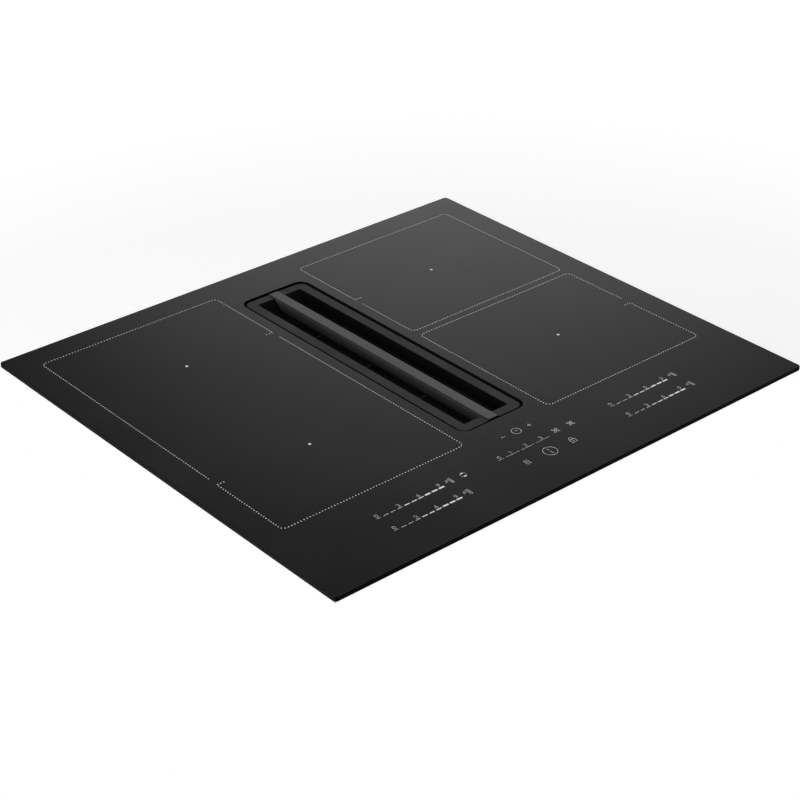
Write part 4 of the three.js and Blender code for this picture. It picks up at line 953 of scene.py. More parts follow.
class Glyph:
    """Printed digits and signs, drawn as open runs of points in millimetres."""

    DIGIT_WIDTH = 2.7
    DIGIT_HEIGHT = 4.4

    @staticmethod
    def arc(centre: Plan, radius: Plan, start: float, end: float, steps: int = 12) -> list[Plan]:
        """Points of an elliptical arc.

        Args:
            centre: Its middle.
            radius: Its radii along X and Y.
            start: The first point's angle, in degrees.
            end: The last point's angle, in degrees.
            steps: Faces along it.

        Returns:
            The points.
        """
        points = []
        for step in range(steps + 1):
            angle = math.radians(start + (end - start) * step / steps)
            points.append((centre[0] + radius[0] * math.cos(angle), centre[1] + radius[1] * math.sin(angle)))
        return points

    @classmethod
    def digit(cls, value: int) -> list[list[Plan]]:
        """A digit with its lower left corner at zero.

        Args:
            value: 0, 1, 2, 3, 6 or 9.

        Returns:
            Its runs.
        """
        width, height = cls.DIGIT_WIDTH, cls.DIGIT_HEIGHT
        half, low, high = width / 2, height * 0.28, height * 0.72
        if value == 0:
            return [cls.arc((half, height / 2), (half, height / 2), 0, 360, 24)]
        if value == 1:
            return [[(half * 0.3, height * 0.78), (half * 1.1, height), (half * 1.1, 0)]]
        if value == 2:
            return [cls.arc((half, high), (half, low), 160, -30, 14) + [(0, 0), (width, 0)]]
        if value == 3:
            upper = cls.arc((half * 0.9, high), (half * 0.95, low * 0.95), 150, -80, 14)
            lower = cls.arc((half * 0.9, low), (half * 1.1, low), 80, -150, 14)
            return [upper + lower]
        bowl = cls.arc((half, low * 1.1), (half, low * 1.1), 0, 360, 20)
        stem = [(width * 0.85, height), (width * 0.25, height * 0.62), (0, low * 1.2)]
        if value == 6:
            return [bowl, stem]
        return [[(width - x, height - y) for x, y in run] for run in (bowl, stem)]

    @staticmethod
    def moved(runs: list[list[Plan]], place: Plan) -> list[list[Plan]]:
        """The runs, moved."""
        return [[(x + place[0], y + place[1]) for x, y in run] for run in runs]

    @classmethod
    def boost(cls) -> list[list[Plan]]:
        """Rising heat beside a thermometer, centred: the sign of the highest level.

        Returns:
            Its runs.
        """
        waves = [[(-3.7, low), (-3.0, low + 1.0), (-2.1, low + 1.1), (-1.3, low + 2.0), (-0.5, low + 2.1)]
                 for low in (-0.8, 1.0)]
        tube = [(0.9, -1.7), (0.9, 2.9)] + cls.arc((1.9, 2.9), (1.0, 1.0), 180, 0, 8) + [(2.9, -1.7)]
        marks = [[(0.9, level), (1.9, level)] for level in (-0.3, 1.1)]
        return [*waves, tube, *marks, cls.arc((1.9, -2.8), (1.2, 1.2), 0, 360, 14)]

    @classmethod
    def fan(cls) -> list[list[Plan]]:
        """Four fan blades in outline, centred.

        Returns:
            Its runs.
        """
        runs = []
        for turn in range(4):
            angle = math.radians(turn * 90 + 35)
            across, along = (-math.sin(angle), math.cos(angle)), (math.cos(angle), math.sin(angle))
            blade = cls.arc((2.3, 0.5), (1.7, 0.85), 0, 360, 12)
            runs.append([(a * along[0] + c * across[0], a * along[1] + c * across[1]) for a, c in blade])
        return runs

    @classmethod
    def clock(cls) -> list[list[Plan]]:
        """A dial with its two hands."""
        return [cls.arc((0, 0), (4.8, 4.8), 0, 360, 36), [(-1.2, 1.2), (0, 0), (2.0, 0.2)]]

    @classmethod
    def power(cls) -> list[list[Plan]]:
        """A ring with a bar in it."""
        return [cls.arc((0, 0), (7.0, 7.0), 0, 360, 48), [(0, -5.2), (0, 5.2)]]

    @classmethod
    def lock(cls) -> list[list[Plan]]:
        """A padlock: body with rounded corners, shackle and keyhole.

        Returns:
            Its runs.
        """
        body = cls.arc((2.3, -0.1), (0.8, 0.8), 0, 90, 3) + cls.arc((-2.3, -0.1), (0.8, 0.8), 90, 180, 3)
        body += cls.arc((-2.3, -3.5), (0.8, 0.8), 180, 270, 3) + cls.arc((2.3, -3.5), (0.8, 0.8), 270, 360, 3)
        shackle = [(-1.9, 0.7), (-1.9, 2.2)] + cls.arc((0, 2.2), (1.9, 2.0), 180, 0, 12) + [(1.9, 0.7)]
        return [body + body[:1], shackle, [(0, -1.2), (0, -2.8)], cls.arc((0, -1.3), (0.4, 0.4), 0, 360, 8)]

    @classmethod
    def pause(cls) -> list[list[Plan]]:
        """Two upright bars in outline, centred."""
        return [[(x - 0.6, -3.4), (x + 0.6, -3.4), (x + 0.6, 3.4), (x - 0.6, 3.4), (x - 0.6, -3.4)]
                for x in (-1.55, 1.55)]


@dataclass(frozen=True)
class Slider:
    """One row of a power slider: digits over nine dashes that swell to the right in three steps."""

    foot_y: float
    digits: Digits
    first_dash: float
    last_dash: float
    boost_x: float

    dashes: int = 9
    lengths: Point = (5.6, 6.1, 6.4)
    widths: Point = (0.5, 1.15, 1.95)
    digit_gap: float = 1.4
    underline: Plan = (2.7, 2.1)
    boost_rise: float = 4.1

    def strokes(self) -> list[list[Plan]]:
        """The digits, each just clear of its dash, the first one's underline and the boost sign.

        Returns:
            Their runs.
        """
        runs = []
        for order, (value, x) in enumerate(self.digits):
            rise = self.widths[max(order - 1, 0)] + self.digit_gap
            runs += Glyph.moved(Glyph.digit(value), (x - Glyph.DIGIT_WIDTH / 2, self.foot_y + rise))
        x, y = self.digits[0][1], self.foot_y + self.widths[0] / 2
        runs.append([(x - self.underline[0], y), (x + self.underline[1], y)])
        return runs + Glyph.moved(Glyph.boost(), (self.boost_x, self.foot_y + self.boost_rise))

    def bars(self) -> list[tuple[Plan, float, float]]:
        """The nine dashes, level along their feet.

        Returns:
            Each dash's middle, length and width.
        """
        pitch = (self.last_dash - self.first_dash) / (self.dashes - 1)
        found = []
        for number in range(self.dashes):
            width = self.widths[number // len(self.widths)]
            middle = (self.first_dash + number * pitch, self.foot_y + width / 2)
            found.append((middle, self.lengths[number // len(self.lengths)], width))
        return found


@dataclass(frozen=True)
class Break:
    """A gap in a zone's side line, with a short tick turned inwards off one of its ends."""

    back: float
    front: float
    tick: Row

    def ends(self, x: float, reach: float) -> list[list[Plan]]:
        """The line's ends at the gap.

        Args:
            x: Where the line stands.
            reach: How far the tick goes along X.

        Returns:
            The points of the back end and of the front end, each with its tick first.
        """
        return [([(x + reach, y)] if self.tick is end else []) + [(x, y)]
                for end, y in ((Row.BACK, self.back), (Row.FRONT, self.front))]


@dataclass
class ScreenPrint:
    """The zone outlines, centre dots, sliders and signs fired onto the glass."""

    low: float = 209.96
    high: float = 209.99
    # Set wider than the 2.3 mm that the photograph measures, so that the dots still part in a render
    dot_pitch: float = 3.4
    dot_radius: float = 0.62
    stroke: float = 0.32
    fine_stroke: float = 0.26
    corner: float = 5.5
    tick: float = 7.5

    # The zones' low X, low Y, high X and high Y, their centres and the breaks in their side lines
    left_zone: Box = (-265.4, -152.7, -54.2, 229.2)
    back_zone: Box = (54.3, 41.9, 264.8, 227.3)
    front_zone: Box = (54.3, -152.3, 264.8, 31.9)
    centres: Plans = ((-160.0, 133.3), (-160.0, -58.5), (160.0, 133.3), (160.0, -58.5))
    back_break: Break = Break(133.1, 120.4, Row.BACK)
    front_break: Break = Break(-45.5, -58.5, Row.FRONT)
    # On each side: the first and the last dash, the digits with their places, the feet of both sliders
    left_dashes: Plan = (-183.0, -117.7)
    right_dashes: Plan = (108.1, 172.8)
    left_digits: Digits = ((0, -191.2), (3, -166.0), (6, -142.3), (9, -117.6))
    right_digits: Digits = ((0, 100.0), (3, 125.0), (6, 148.5), (9, 173.0))
    left_feet: Plan = (-193.4, -217.1)
    right_feet: Plan = (-192.9, -216.4)
    left_boost: float = -105.5
    right_boost: float = 186.0
    # The fan slider's dashes, digits and signs
    vent_rule: Plans = ((-49.2, -42.2), (-39.5, -22.8), (-20.4, -3.9), (-1.5, 15.6))
    vent_rule_y: float = -193.1
    vent_digits: Digits = ((0, -45.2), (1, -30.9), (2, -12.0), (3, 7.2))
    vent_digits_y: float = -191.8
    fan_signs: Plans = ((27.4, -188.9), (47.0, -188.9))
    # The keys' middles, and the sizes of those that are drawn here
    minus_key: Plan = (-17.3, -166.0)
    plus_key: Plan = (15.8, -166.0)
    key_reach: float = 2.5
    clock_key: Plan = (-0.9, -166.0)
    power_key: Plan = (-1.7, -211.6)
    lock_key: Plan = (27.2, -210.9)
    pause_key: Plan = (-30.6, -211.6)
    bridge_key: Plan = (-88.9, -189.5)
    bridge_ring: float = 3.2
    bridge_arcs: tuple[int, ...] = (15, 105, 195, 285)
    bridge_arc: int = 60
    bridge_dots: Plan = (-186.9, -192.1)
    bridge_dot: float = 1.1
    centre_dot: float = 1.5

    def sliders(self) -> list[Slider]:
        """The four zone sliders.

        Returns:
            Two on the left, then two on the right.
        """
        left = [Slider(foot, self.left_digits, *self.left_dashes, self.left_boost) for foot in self.left_feet]
        return left + [Slider(foot, self.right_digits, *self.right_dashes, self.right_boost)
                       for foot in self.right_feet]

    def zone(self, box: Box, left: Break | None,
             right: Break | None) -> list[tuple[list[Plan], bool]]:
        """A zone's outline, opened where a break is asked for.

        Args:
            box: Low X, low Y, high X and high Y.
            left: The break in its left line.
            right: The break in its right line.

        Returns:
            Runs for paths().
        """
        x0, y0, x1, y1 = box
        r = self.corner
        back = [(x0, y1 - r)] + Glyph.arc((x0 + r, y1 - r), (r, r), 180, 90, 6)
        back += Glyph.arc((x1 - r, y1 - r), (r, r), 90, 0, 6)
        front = Glyph.arc((x1 - r, y0 + r), (r, r), 0, -90, 6)
        front += Glyph.arc((x0 + r, y0 + r), (r, r), 270, 180, 6)
        if left:
            back_end, front_end = left.ends(x0, self.tick)
            back, front = back_end + back, front + front_end[::-1]
        if right:
            back_end, front_end = right.ends(x1, -self.tick)
            back, front = back + back_end[::-1], front_end + front
        if left and right:
            return [(back, False), (front, False)]
        return [(front + back, False)] if right else [(back + front, left is None)]

    def outlines(self) -> None:
        """Prints the dotted zone outlines and their centre dots."""
        runs = self.zone(self.left_zone, self.front_break, self.back_break)
        runs += self.zone(self.back_zone, self.back_break, None)
        runs += self.zone(self.front_zone, None, self.front_break)
        middle, depth = (self.low + self.high) / 2, self.high - self.low
        made = dot_tree().build(paths("zone_paths", runs, middle), "zone_outlines", Finishes.PRINT,
                                Pitch=self.dot_pitch * MM, Radius=self.dot_radius * MM, Height=depth * MM)
        dress(made, Finishes.PRINT, "hob")
        dot = loft("dot_template", [circle(self.centre_dot, z, steps=24) for z in (-depth / 2, depth / 2)])
        places = [(x, y, middle) for x, y in self.centres]
        dress(scattered("zone_centre_dots", dot, places, Finishes.PRINT), Finishes.PRINT, "hob")

    def vent_row(self) -> list[list[Plan]]:
        """The fan slider's digits and its two signs.

        Returns:
            Their runs.
        """
        runs = []
        for value, x in self.vent_digits:
            runs += Glyph.moved(Glyph.digit(value), (x - Glyph.DIGIT_WIDTH / 2, self.vent_digits_y))
        for place in self.fan_signs:
            runs += Glyph.moved(Glyph.fan(), place)
        return runs

    def touch_keys(self) -> list[list[Plan]]:
        """The timer, power, lock and bridge keys.

        Returns:
            Their runs.
        """
        reach, radii = self.key_reach, (self.bridge_ring, self.bridge_ring)
        flat, upright = [(-reach, 0.0), (reach, 0.0)], [(0.0, -reach), (0.0, reach)]
        ring = [Glyph.arc((0, 0), radii, start, start + self.bridge_arc, 5) for start in self.bridge_arcs]
        keys = (
            ([flat], self.minus_key), ([flat, upright], self.plus_key), (Glyph.clock(), self.clock_key),
            (Glyph.power(), self.power_key), (Glyph.lock(), self.lock_key), (ring, self.bridge_key),
        )
        return [run for shape, place in keys for run in Glyph.moved(shape, place)]

    def signs(self) -> None:
        """Prints the digits and signs, and in a finer stroke the fan slider's rule and the pause key."""
        runs = self.vent_row() + self.touch_keys()
        for slider in self.sliders():
            runs += slider.strokes()
        fine = [[(start, self.vent_rule_y), (end, self.vent_rule_y)] for start, end in self.vent_rule]
        fine += Glyph.moved(Glyph.pause(), self.pause_key)
        for name, lines, width in (("printed_signs", runs, self.stroke),
                                   ("printed_fine_lines", fine, self.fine_stroke)):
            host = paths(name + "_paths", [(run, False) for run in lines], (self.low + self.high) / 2)
            made = ribbon_tree().build(host, name, Finishes.PRINT, Width=width * MM,
                                       Height=(self.high - self.low) * MM)
            dress(made, Finishes.PRINT, "hob")

    def bars(self) -> None:
        """Prints the solid marks: the slider dashes and the bridge key's dots."""
        marks = [mark for slider in self.sliders() for mark in slider.bars()]
        plans = [outline(length / 2, width / 2, width * 0.2, 0.0, middle, 2)
                 for middle, length, width in marks]
        plans += [outline(self.bridge_dot, self.bridge_dot, self.bridge_dot - 0.1, 0.0,
                          (self.bridge_key[0], y), 2) for y in self.bridge_dots]
        points, faces = [], []
        for plan in plans:
            first, size = len(points), len(plan)
            for z in (self.low, self.high):
                points += [(x, y, z) for x, y, _ in plan]
            faces.append(tuple(first + step for step in reversed(range(size))))
            faces.append(tuple(first + size + step for step in range(size)))
            faces += walls(first, first + size, size)
        dress(mesh_piece("printed_bars", points, faces), Finishes.PRINT, "hob")

    def build(self) -> None:
        """Prints everything."""
        self.outlines()
        self.signs()
        self.bars()


# ---------------------------------------------------------------- vent: grille, filter, well, tray


@dataclass
class VentGrille:
    """The cast frame set into the glass and the aluminium bar that stands in its middle."""

    centre: Plan = (0.0, 33.65)
    # Half width, half depth and corner radius of the frame and of its opening
    outer: Point = (38.65, 168.4, 8.4)
    opening: Point = (27.95, 157.7, 1.2)
    wall: float = 2.2
    lean: float = 4.0
    seat: float = 194.0
    top: float = 209.0
    ceiling: float = 206.5
    edge: float = 0.5
    rim_edge: float = 0.3
    bar_edge: float = 0.15
    bar_end: float = 167.6
    notch_half: float = 7.2
    notch_depth: float = 2.0
    notch_rise: float = 0.6

    # How far a face's normal leans to a side or upwards where the face counts as one or the other
    ASIDE, UPWARDS = 0.5, 0.95

    def ring(self, shape: Point, grow: float, z: float) -> list[Point]:
        """One loop of the frame, its half width, half depth and radius all grown alike."""
        half_x, half_y, radius = (size + grow for size in shape)
        return outline(half_x, half_y, radius, z, self.centre, 8)

    def frame_piece(self) -> bpy.types.Object:
        """The frame as a ring with a hollow underside, rounded rims and end walls that lean inwards.

        Returns:
            The frame, its level top in the grille enamel and its sides in the darker copy that paints shade.
        """
        loops = [self.ring(self.outer, 0.0, self.seat)]
        loops += [self.ring(self.outer, move, self.top - drop) for move, drop in fillet(True, self.edge)]
        loops += [self.ring(self.opening, move, self.top - drop)
                  for move, drop in reversed(fillet(False, self.rim_edge))]
        half_x, half_y, radius = self.opening
        leaning = (half_x, half_y - self.lean, radius)
        hollow = (half_x + self.wall, half_y + self.wall, radius)
        loops += [self.ring(shape, grow, z) for shape, grow, z in (
            (self.opening, 0.0, self.ceiling), (leaning, 0.0, self.seat),
            (hollow, 0.0, self.seat), (hollow, 0.0, self.ceiling),
            (self.outer, -self.wall, self.ceiling), (self.outer, -self.wall, self.seat),
        )]
        rim = loft("grille_rim", loops, ring=True)
        rim.data.materials.append(Finishes.GRILLE.material())
        rim.data.materials.append(Finishes.GRILLE_SIDE.material())
        # Everything but the level top takes the darker copy: painted shade on walls and underside
        for face in rim.data.polygons:
            on_top = face.normal.z > self.ASIDE and face.center.z > self.ceiling * MM
            face.material_index = 0 if on_top else 1
        return rim

    def notched(self, rim: bpy.types.Object) -> bpy.types.Object:
        """Cuts the rim away in front of the bar's ends, the cut faces in the darker enamel that paints shade.

        Args:
            rim: The frame, which is replaced.

        Returns:
            The frame with a notch in each end wall.
        """
        blocks = [loft("notch", [
            [(x, self.centre[1] + end * y, z) for x, y in (
                (-self.notch_half, self.bar_end), (self.notch_half, self.bar_end),
                (self.notch_half, self.bar_end + self.notch_depth),
                (-self.notch_half, self.bar_end + self.notch_depth))]
            for z in (self.ceiling + self.notch_rise, self.top + 1.0)
        ]) for end in (-1, 1)]
        for block in blocks:
            # The notch faces take the darker copy: painted shade under the bar's ends
            block.data.materials.append(Finishes.GRILLE_SIDE.material())
            cut = rim.modifiers.new("notch", "BOOLEAN")
            cut.operation, cut.solver, cut.object = "DIFFERENCE", "EXACT", block
            cut.material_mode = "TRANSFER"
        rim.name = "grille_rim_uncut"
        made = evaluated(rim, "grille_rim")
        for block in blocks:
            bpy.data.objects.remove(block)
        return made

    def bar(self) -> bpy.types.Object:
        """The bar from its solid.

        Returns:
            The bar, its flat top and flanks told apart from its chamfers and ends, which take the darker copy
            as painted shade.
        """
        made = soften(copy_of("grille_bar", "grille_wedge"), self.bar_edge, 1)
        for finish in (Finishes.BAR, Finishes.BAR_CUT):
            made.data.materials.append(finish.material())
        # Chamfers and ends take the darker copy: painted shade
        for face in made.data.polygons:
            on_end = abs(face.normal.y) > self.ASIDE
            face.material_index = 1 if on_end or self.ASIDE < face.normal.z < self.UPWARDS else 0
        return made

    def build(self) -> None:
        """Makes the frame and the bar."""
        dress(self.notched(self.frame_piece()), Finishes.GRILLE, "grille", ("grille_frame",))
        dress(self.bar(), Finishes.BAR, "grille", ("grille_bar",), 20.0)


@dataclass
class GreaseFilter:
    """The pressed filter basket, its expanded-metal face and the pleats behind it."""

    centre: Plan = (0.0, 33.65)
    edge: float = 0.3
    half_x: float = 27.3
    half_y: float = 153.6
    face_z: float = 164.02
    strand: float = 0.24
    cell: Plan = (3.2, 5.4)

    def mesh_tree(self) -> GeometryTree:
        """Expanded metal: rows of flat diamonds. Inputs: Across, Along, Columns, Rows and Strand.

        Returns:
            The tree.
        """
        tree = GeometryTree("expanded_metal")
        across, along, strand = (tree.size(name) for name in ("Across", "Along", "Strand"))
        columns, rows = tree.size("Columns", "NodeSocketInt"), tree.size("Rows", "NodeSocketInt")
        wide, deep = (tree.node("ShaderNodeMath", {"operation": "MULTIPLY"}, {0: step, 1: count})
                      for step, count in ((across, columns), (along, rows)))
        more_x, more_y = (tree.node("ShaderNodeMath", {"operation": "ADD"}, {0: count, 1: 1.0})
                          for count in (columns, rows))
        grid = tree.node("GeometryNodeMeshGrid", {}, {
            "Size X": wide.outputs[0], "Size Y": deep.outputs[0],
            "Vertices X": more_x.outputs[0], "Vertices Y": more_y.outputs[0],
        })
        cells = tree.node("GeometryNodeMeshToPoints", {"mode": "FACES"}, {"Mesh": grid.outputs["Mesh"]})
        hole = tree.node("GeometryNodeMeshCircle", {"fill_type": "NONE"}, {"Vertices": 4, "Radius": 0.5})
        size = tree.node("ShaderNodeCombineXYZ", {}, {"X": across, "Y": along, "Z": 1.0})
        shaped = tree.node("GeometryNodeTransform", {}, {
            "Geometry": hole.outputs[0], "Scale": size.outputs[0],
        })
        placed = tree.node("GeometryNodeInstanceOnPoints", {}, {
            "Points": cells.outputs[0], "Instance": shaped.outputs[0],
        })
        real = tree.node("GeometryNodeRealizeInstances", {}, {"Geometry": placed.outputs[0]})
        lines = tree.node("GeometryNodeMeshToCurve", {}, {"Mesh": real.outputs[0]})
        section = tree.node("GeometryNodeCurvePrimitiveQuadrilateral", {"mode": "RECTANGLE"}, {
            "Width": strand, "Height": strand,
        })
        drawn = tree.node("GeometryNodeCurveToMesh", {}, {
            "Curve": lines.outputs[0], "Profile Curve": section.outputs[0],
        })
        spot = tree.node("GeometryNodeInstanceOnPoints", {}, {
            "Points": tree.enter.outputs["Geometry"], "Instance": drawn.outputs[0],
        })
        tree.finish(spot.outputs[0])
        return tree

    def face(self) -> None:
        """The expanded-metal sheet that lies on the pleats."""
        across, along = self.cell
        columns, rows = int(2 * self.half_x / across), int(2 * self.half_y / along)
        # The face takes the darkened mesh colour: painted shade
        made = self.mesh_tree().build(
            spots("filter_face_place", [(*self.centre, self.face_z + self.strand / 2)]), "filter_face",
            Finishes.FILTER_MESH, Across=2 * self.half_x / columns * MM, Along=2 * self.half_y / rows * MM,
            Strand=self.strand * MM, Columns=columns, Rows=rows)
        dress(made, Finishes.FILTER_MESH, "filter")

    def build(self) -> None:
        """Makes basket, base, pleats and face."""
        # The pleats take the darkened mesh colour: painted shade in place of their holes
        for node, name, finish in (("filter_frame", "filter_basket", Finishes.FILTER),
                                   ("filter_base", "filter_foot", Finishes.FILTER),
                                   ("filter_pack", "filter_pleats", Finishes.FILTER_MESH)):
            Moulding(node, name, finish, "filter", "filter_metal", self.edge).build()
        self.face()


@dataclass
class SuctionWell:
    """The moulded funnel that carries grille and filter and leads down to the plenum."""

    edge: float = 0.5

    def build(self) -> None:
        """Makes the well from its solid with rounded edges."""
        Moulding("suction_well", "well_moulding", Finishes.BLACK_PLASTIC, "hob", "black_plastic",
                 self.edge).build()


@dataclass
class SpillTray:
    """The lift-out tray that catches what boils over into the vent."""

    edge: float = 0.5

    def build(self) -> None:
        """Makes the tray from its solid with rounded edges."""
        Moulding("spill_tray", "spill_tub", Finishes.GREY_PLASTIC, "spill_tray", "grey_plastic",
                 self.edge).build()


# ---------------------------------------------------------------- tray, coils and electronics


@dataclass
class HobTray:
    """The folded steel tray under the glass, its seals and the springs that centre it."""

    wall_x: float = 277.0
    bow: float = 7.0
    leaf: float = 0.8
    width: float = 26.0
    foot: float = 163.0
    head: float = 197.0
    spread: float = 150.0
    cut_in: float = 2.5
    steps: int = 18

    # Shares of a spring's height: where it leaves the wall, how long it swells, where it turns back
    LEAVES, SWELLS, RETURNS = 0.25, 0.45, 0.7
    # The share of its bow that it gives back at its foot, and how steeply its ends are cut in
    GIVEN_BACK, STEEPNESS = 0.4, 12

    def spring(self, side: Side, row: Row) -> None:
        """One leaf spring, bowed out from the tray's side wall.

        Args:
            side: The wall that it is fixed to.
            row: The end of the wall.
        """
        y = self.spread * (1 if row is Row.BACK else -1)
        loops = []
        for step in range(self.steps + 1):
            share = step / self.steps
            z = self.head + (self.foot - self.head) * share
            swell = min(max(share - self.LEAVES, 0.0) / self.SWELLS, 1.0)
            out = self.bow * math.sin(math.pi / 2 * swell) ** 2
            if share > self.RETURNS:
                out -= self.GIVEN_BACK * self.bow * ((share - self.RETURNS) / (1 - self.RETURNS)) ** 2
            near, far = self.wall_x + out, self.wall_x + out + self.leaf
            cut = self.cut_in * max(0.0, 1 - self.STEEPNESS * min(share, 1 - share))
            half = self.width / 2 - cut
            loops.append([(side.value * x, y + end, z) for x, end in (
                (near, -half), (far, -half), (far, half), (near, half))])
        name = f"leaf_spring_{side.word}_{row.value}"
        node = f"worktop_spring_{side.word}_{row.value}"
        dress(loft(name, loops), Finishes.SPRING, "hob", (node,))

    def build(self) -> None:
        """Makes the tray, the bonds, the foam and the springs."""
        for node, name, finish, slot, radius in (
                ("hob_tray", "tray_pan", Finishes.ZINC, "zinc_steel", 0.3),
                ("worktop_seal", "foam_tape", Finishes.FOAM, "seal_foam", 0.4),
                ("tray_bond", "tray_bond_bead", Finishes.SILICONE, "silicone", 0.5),
                ("well_bond", "well_bond_bead", Finishes.SILICONE, "silicone", 0.5)):
            Moulding(node, name, finish, "hob", slot, radius).build()
        for side in Side:
            for row in Row:
                self.spring(side, row)


@dataclass
class CoilBay:
    """Four induction coils on their plates under a sheet of mica."""

    x: float = 160.0
    rows: tuple[float, float] = (133.725, -57.225)
    turns: float = 14.0
    inner: float = 22.0
    outer: float = 84.0
    wire: float = 1.85
    wire_z: float = 203.0
    ferrites: int = 6
    ferrite_edge: float = 0.6

    # Pairs of radius and height of a carrier and of a sensor cap
    carrier: Plans = ((16.2, 199.1), (89.5, 199.1), (89.9, 199.5), (89.9, 200.6), (89.5, 201.0),
                      (16.2, 201.0))
    cap: Plans = ((5.9, 194.0), (5.9, 204.4), (5.2, 205.6), (3.0, 205.95))
    # Low and high corner of the first ferrite bar, from the middle of its coil
    ferrite: tuple[Point, Point] = ((24.0, -5.0, 194.2), (82.0, 5.0, 199.0))

    def centres(self, z: float) -> list[Point]:
        """The four coil centres at a height."""
        return [(side.value * self.x, y, z) for side in Side for y in self.rows]

    def nodes(self, stem: str) -> tuple[str, ...]:
        """The four nodes of one kind."""
        return tuple(f"{stem}_{side.word}_{row.value}" for side in Side for row in Row)

    def winding_tree(self) -> GeometryTree:
        """A flat spiral of round wire on every point. Inputs: Turns, Inner, Outer and Wire.

        Returns:
            The tree.
        """
        tree = GeometryTree("flat_winding")
        turns, inner, outer, wire = (tree.size(name) for name in ("Turns", "Inner", "Outer", "Wire"))
        spiral = tree.node("GeometryNodeCurveSpiral", {}, {
            "Resolution": 40, "Rotations": turns, "Start Radius": inner, "End Radius": outer, "Height": 0.0,
        })
        level = tree.node("GeometryNodeSetCurveNormal", {"mode": "Z_UP"}, {"Curve": spiral.outputs[0]})
        section = tree.node("GeometryNodeCurvePrimitiveCircle", {}, {"Resolution": 8, "Radius": wire})
        drawn = tree.node("GeometryNodeCurveToMesh", {}, {
            "Curve": level.outputs[0], "Profile Curve": section.outputs[0], "Fill Caps": True,
        })
        placed = tree.node("GeometryNodeInstanceOnPoints", {}, {
            "Points": tree.enter.outputs["Geometry"], "Instance": drawn.outputs[0],
        })
        tree.finish(placed.outputs[0])
        return tree

    def windings(self) -> None:
        """Winds the four coils."""
        made = self.winding_tree().build(
            spots("winding_centres", self.centres(self.wire_z)), "litz_windings", Finishes.COPPER,
            Turns=self.turns, Inner=self.inner * MM, Outer=self.outer * MM, Wire=self.wire * MM)
        dress(made, Finishes.COPPER, "hob", self.nodes("coil_winding"))

    def carriers(self) -> None:
        """Moulds the four carriers and sets their ferrite bars and sensor caps."""
        flat = self.centres(0.0)
        disc = turned("carrier_template", list(self.carrier), steps=64)
        dress(scattered("coil_carriers", disc, flat, Finishes.GREY_PLASTIC), Finishes.GREY_PLASTIC, "hob",
              self.nodes("coil_carrier"))
        (x0, y0, z0), (x1, y1, z1) = self.ferrite
        bar = soften(loft("ferrite_template", [
            [(x0, y0, z), (x1, y0, z), (x1, y1, z), (x0, y1, z)] for z in (z0, z1)]), self.ferrite_edge)
        places = [place for place in flat for _ in range(self.ferrites)]
        bars = scattered("ferrite_bars", bar, places, Finishes.FERRITE, 2 * math.pi / self.ferrites)
        dress(bars, Finishes.FERRITE, "hob")
        cap = turned("cap_template", list(self.cap), steps=24, ring=False)
        dress(scattered("sensor_caps", cap, flat, Finishes.SENSOR), Finishes.SENSOR, "hob",
              self.nodes("coil_sensor"))

    def build(self) -> None:
        """Makes every coil, its plate and its mica."""
        self.windings()
        self.carriers()
        for side in Side:
            for node, name, finish, slot, radius in (
                    ("coil_plate", "carrier_plate", Finishes.ALUMINIUM, "aluminium", 0.2),
                    ("coil_insulation", "mica_sheet", Finishes.MICA, "mica", 0.15)):
                Moulding(f"{node}_{side.word}", f"{name}_{side.word}", finish, "hob", slot, radius).build()


@dataclass
class PowerStage:
    """A power board, a heat sink and a cooling fan for each pair of coils."""

    board_top: float = 160.6
    board_x: float = 160.0
    # How far from the board's middle the cans begin on its inner side and the cases on its outer side
    parts_x: float = 28.0
    board_edge: float = 0.4

    def board(self, side: Side) -> None:
        """One board, with its cases, cans and choke told apart by where they stand.

        Args:
            side: The side of the hob that it serves.
        """
        node = f"power_board_{side.word}"
        made = soften(copy_of(node, f"power_board_parts_{side.word}"), self.board_edge)
        for finish in (Finishes.BOARD, Finishes.SLEEVE, Finishes.BLACK_PLASTIC, Finishes.COPPER):
            made.data.materials.append(finish.material())
        for face in made.data.polygons:
            spot = face.center / MM
            if spot.z < self.board_top + 0.5:
                continue
            across = spot.x * side.value - self.board_x
            face.material_index = 1 if across < -self.parts_x else 2 if across > self.parts_x else 3
        dress(made, Finishes.BOARD, "hob", (node,))

    def build(self) -> None:
        """Makes both sides."""
        for side in Side:
            word = side.word
            self.board(side)
            for node, name, finish, body, slot, radius in (
                    ("heat_sink", "finned_sink", Finishes.ALUMINIUM, "hob", "aluminium", 0.25),
                    ("cooler_frame", "fan_frame", Finishes.BLACK_PLASTIC, "hob", "black_plastic", 0.4),
                    ("cooler_rotor", "fan_rotor", Finishes.BLACK_PLASTIC, f"cooler_{word}", "black_plastic",
                     0.3)):
                Moulding(f"{node}_{word}", f"{name}_{word}", finish, body, slot, radius).build()


@dataclass
class ControlUnit:
    """The touch control: a celled carrier over a board with contact springs."""

    carrier_edge: float = 0.3
    board_edge: float = 0.2

    def build(self) -> None:
        """Makes carrier and board."""
        Moulding("control_carrier", "touch_carrier", Finishes.GREY_PLASTIC, "hob", "grey_plastic",
                 self.carrier_edge).build()
        Moulding("control_board", "touch_board", Finishes.BOARD, "hob", "circuit_board",
                 self.board_edge).build()


# ---------------------------------------------------------------- fan unit and mains terminal


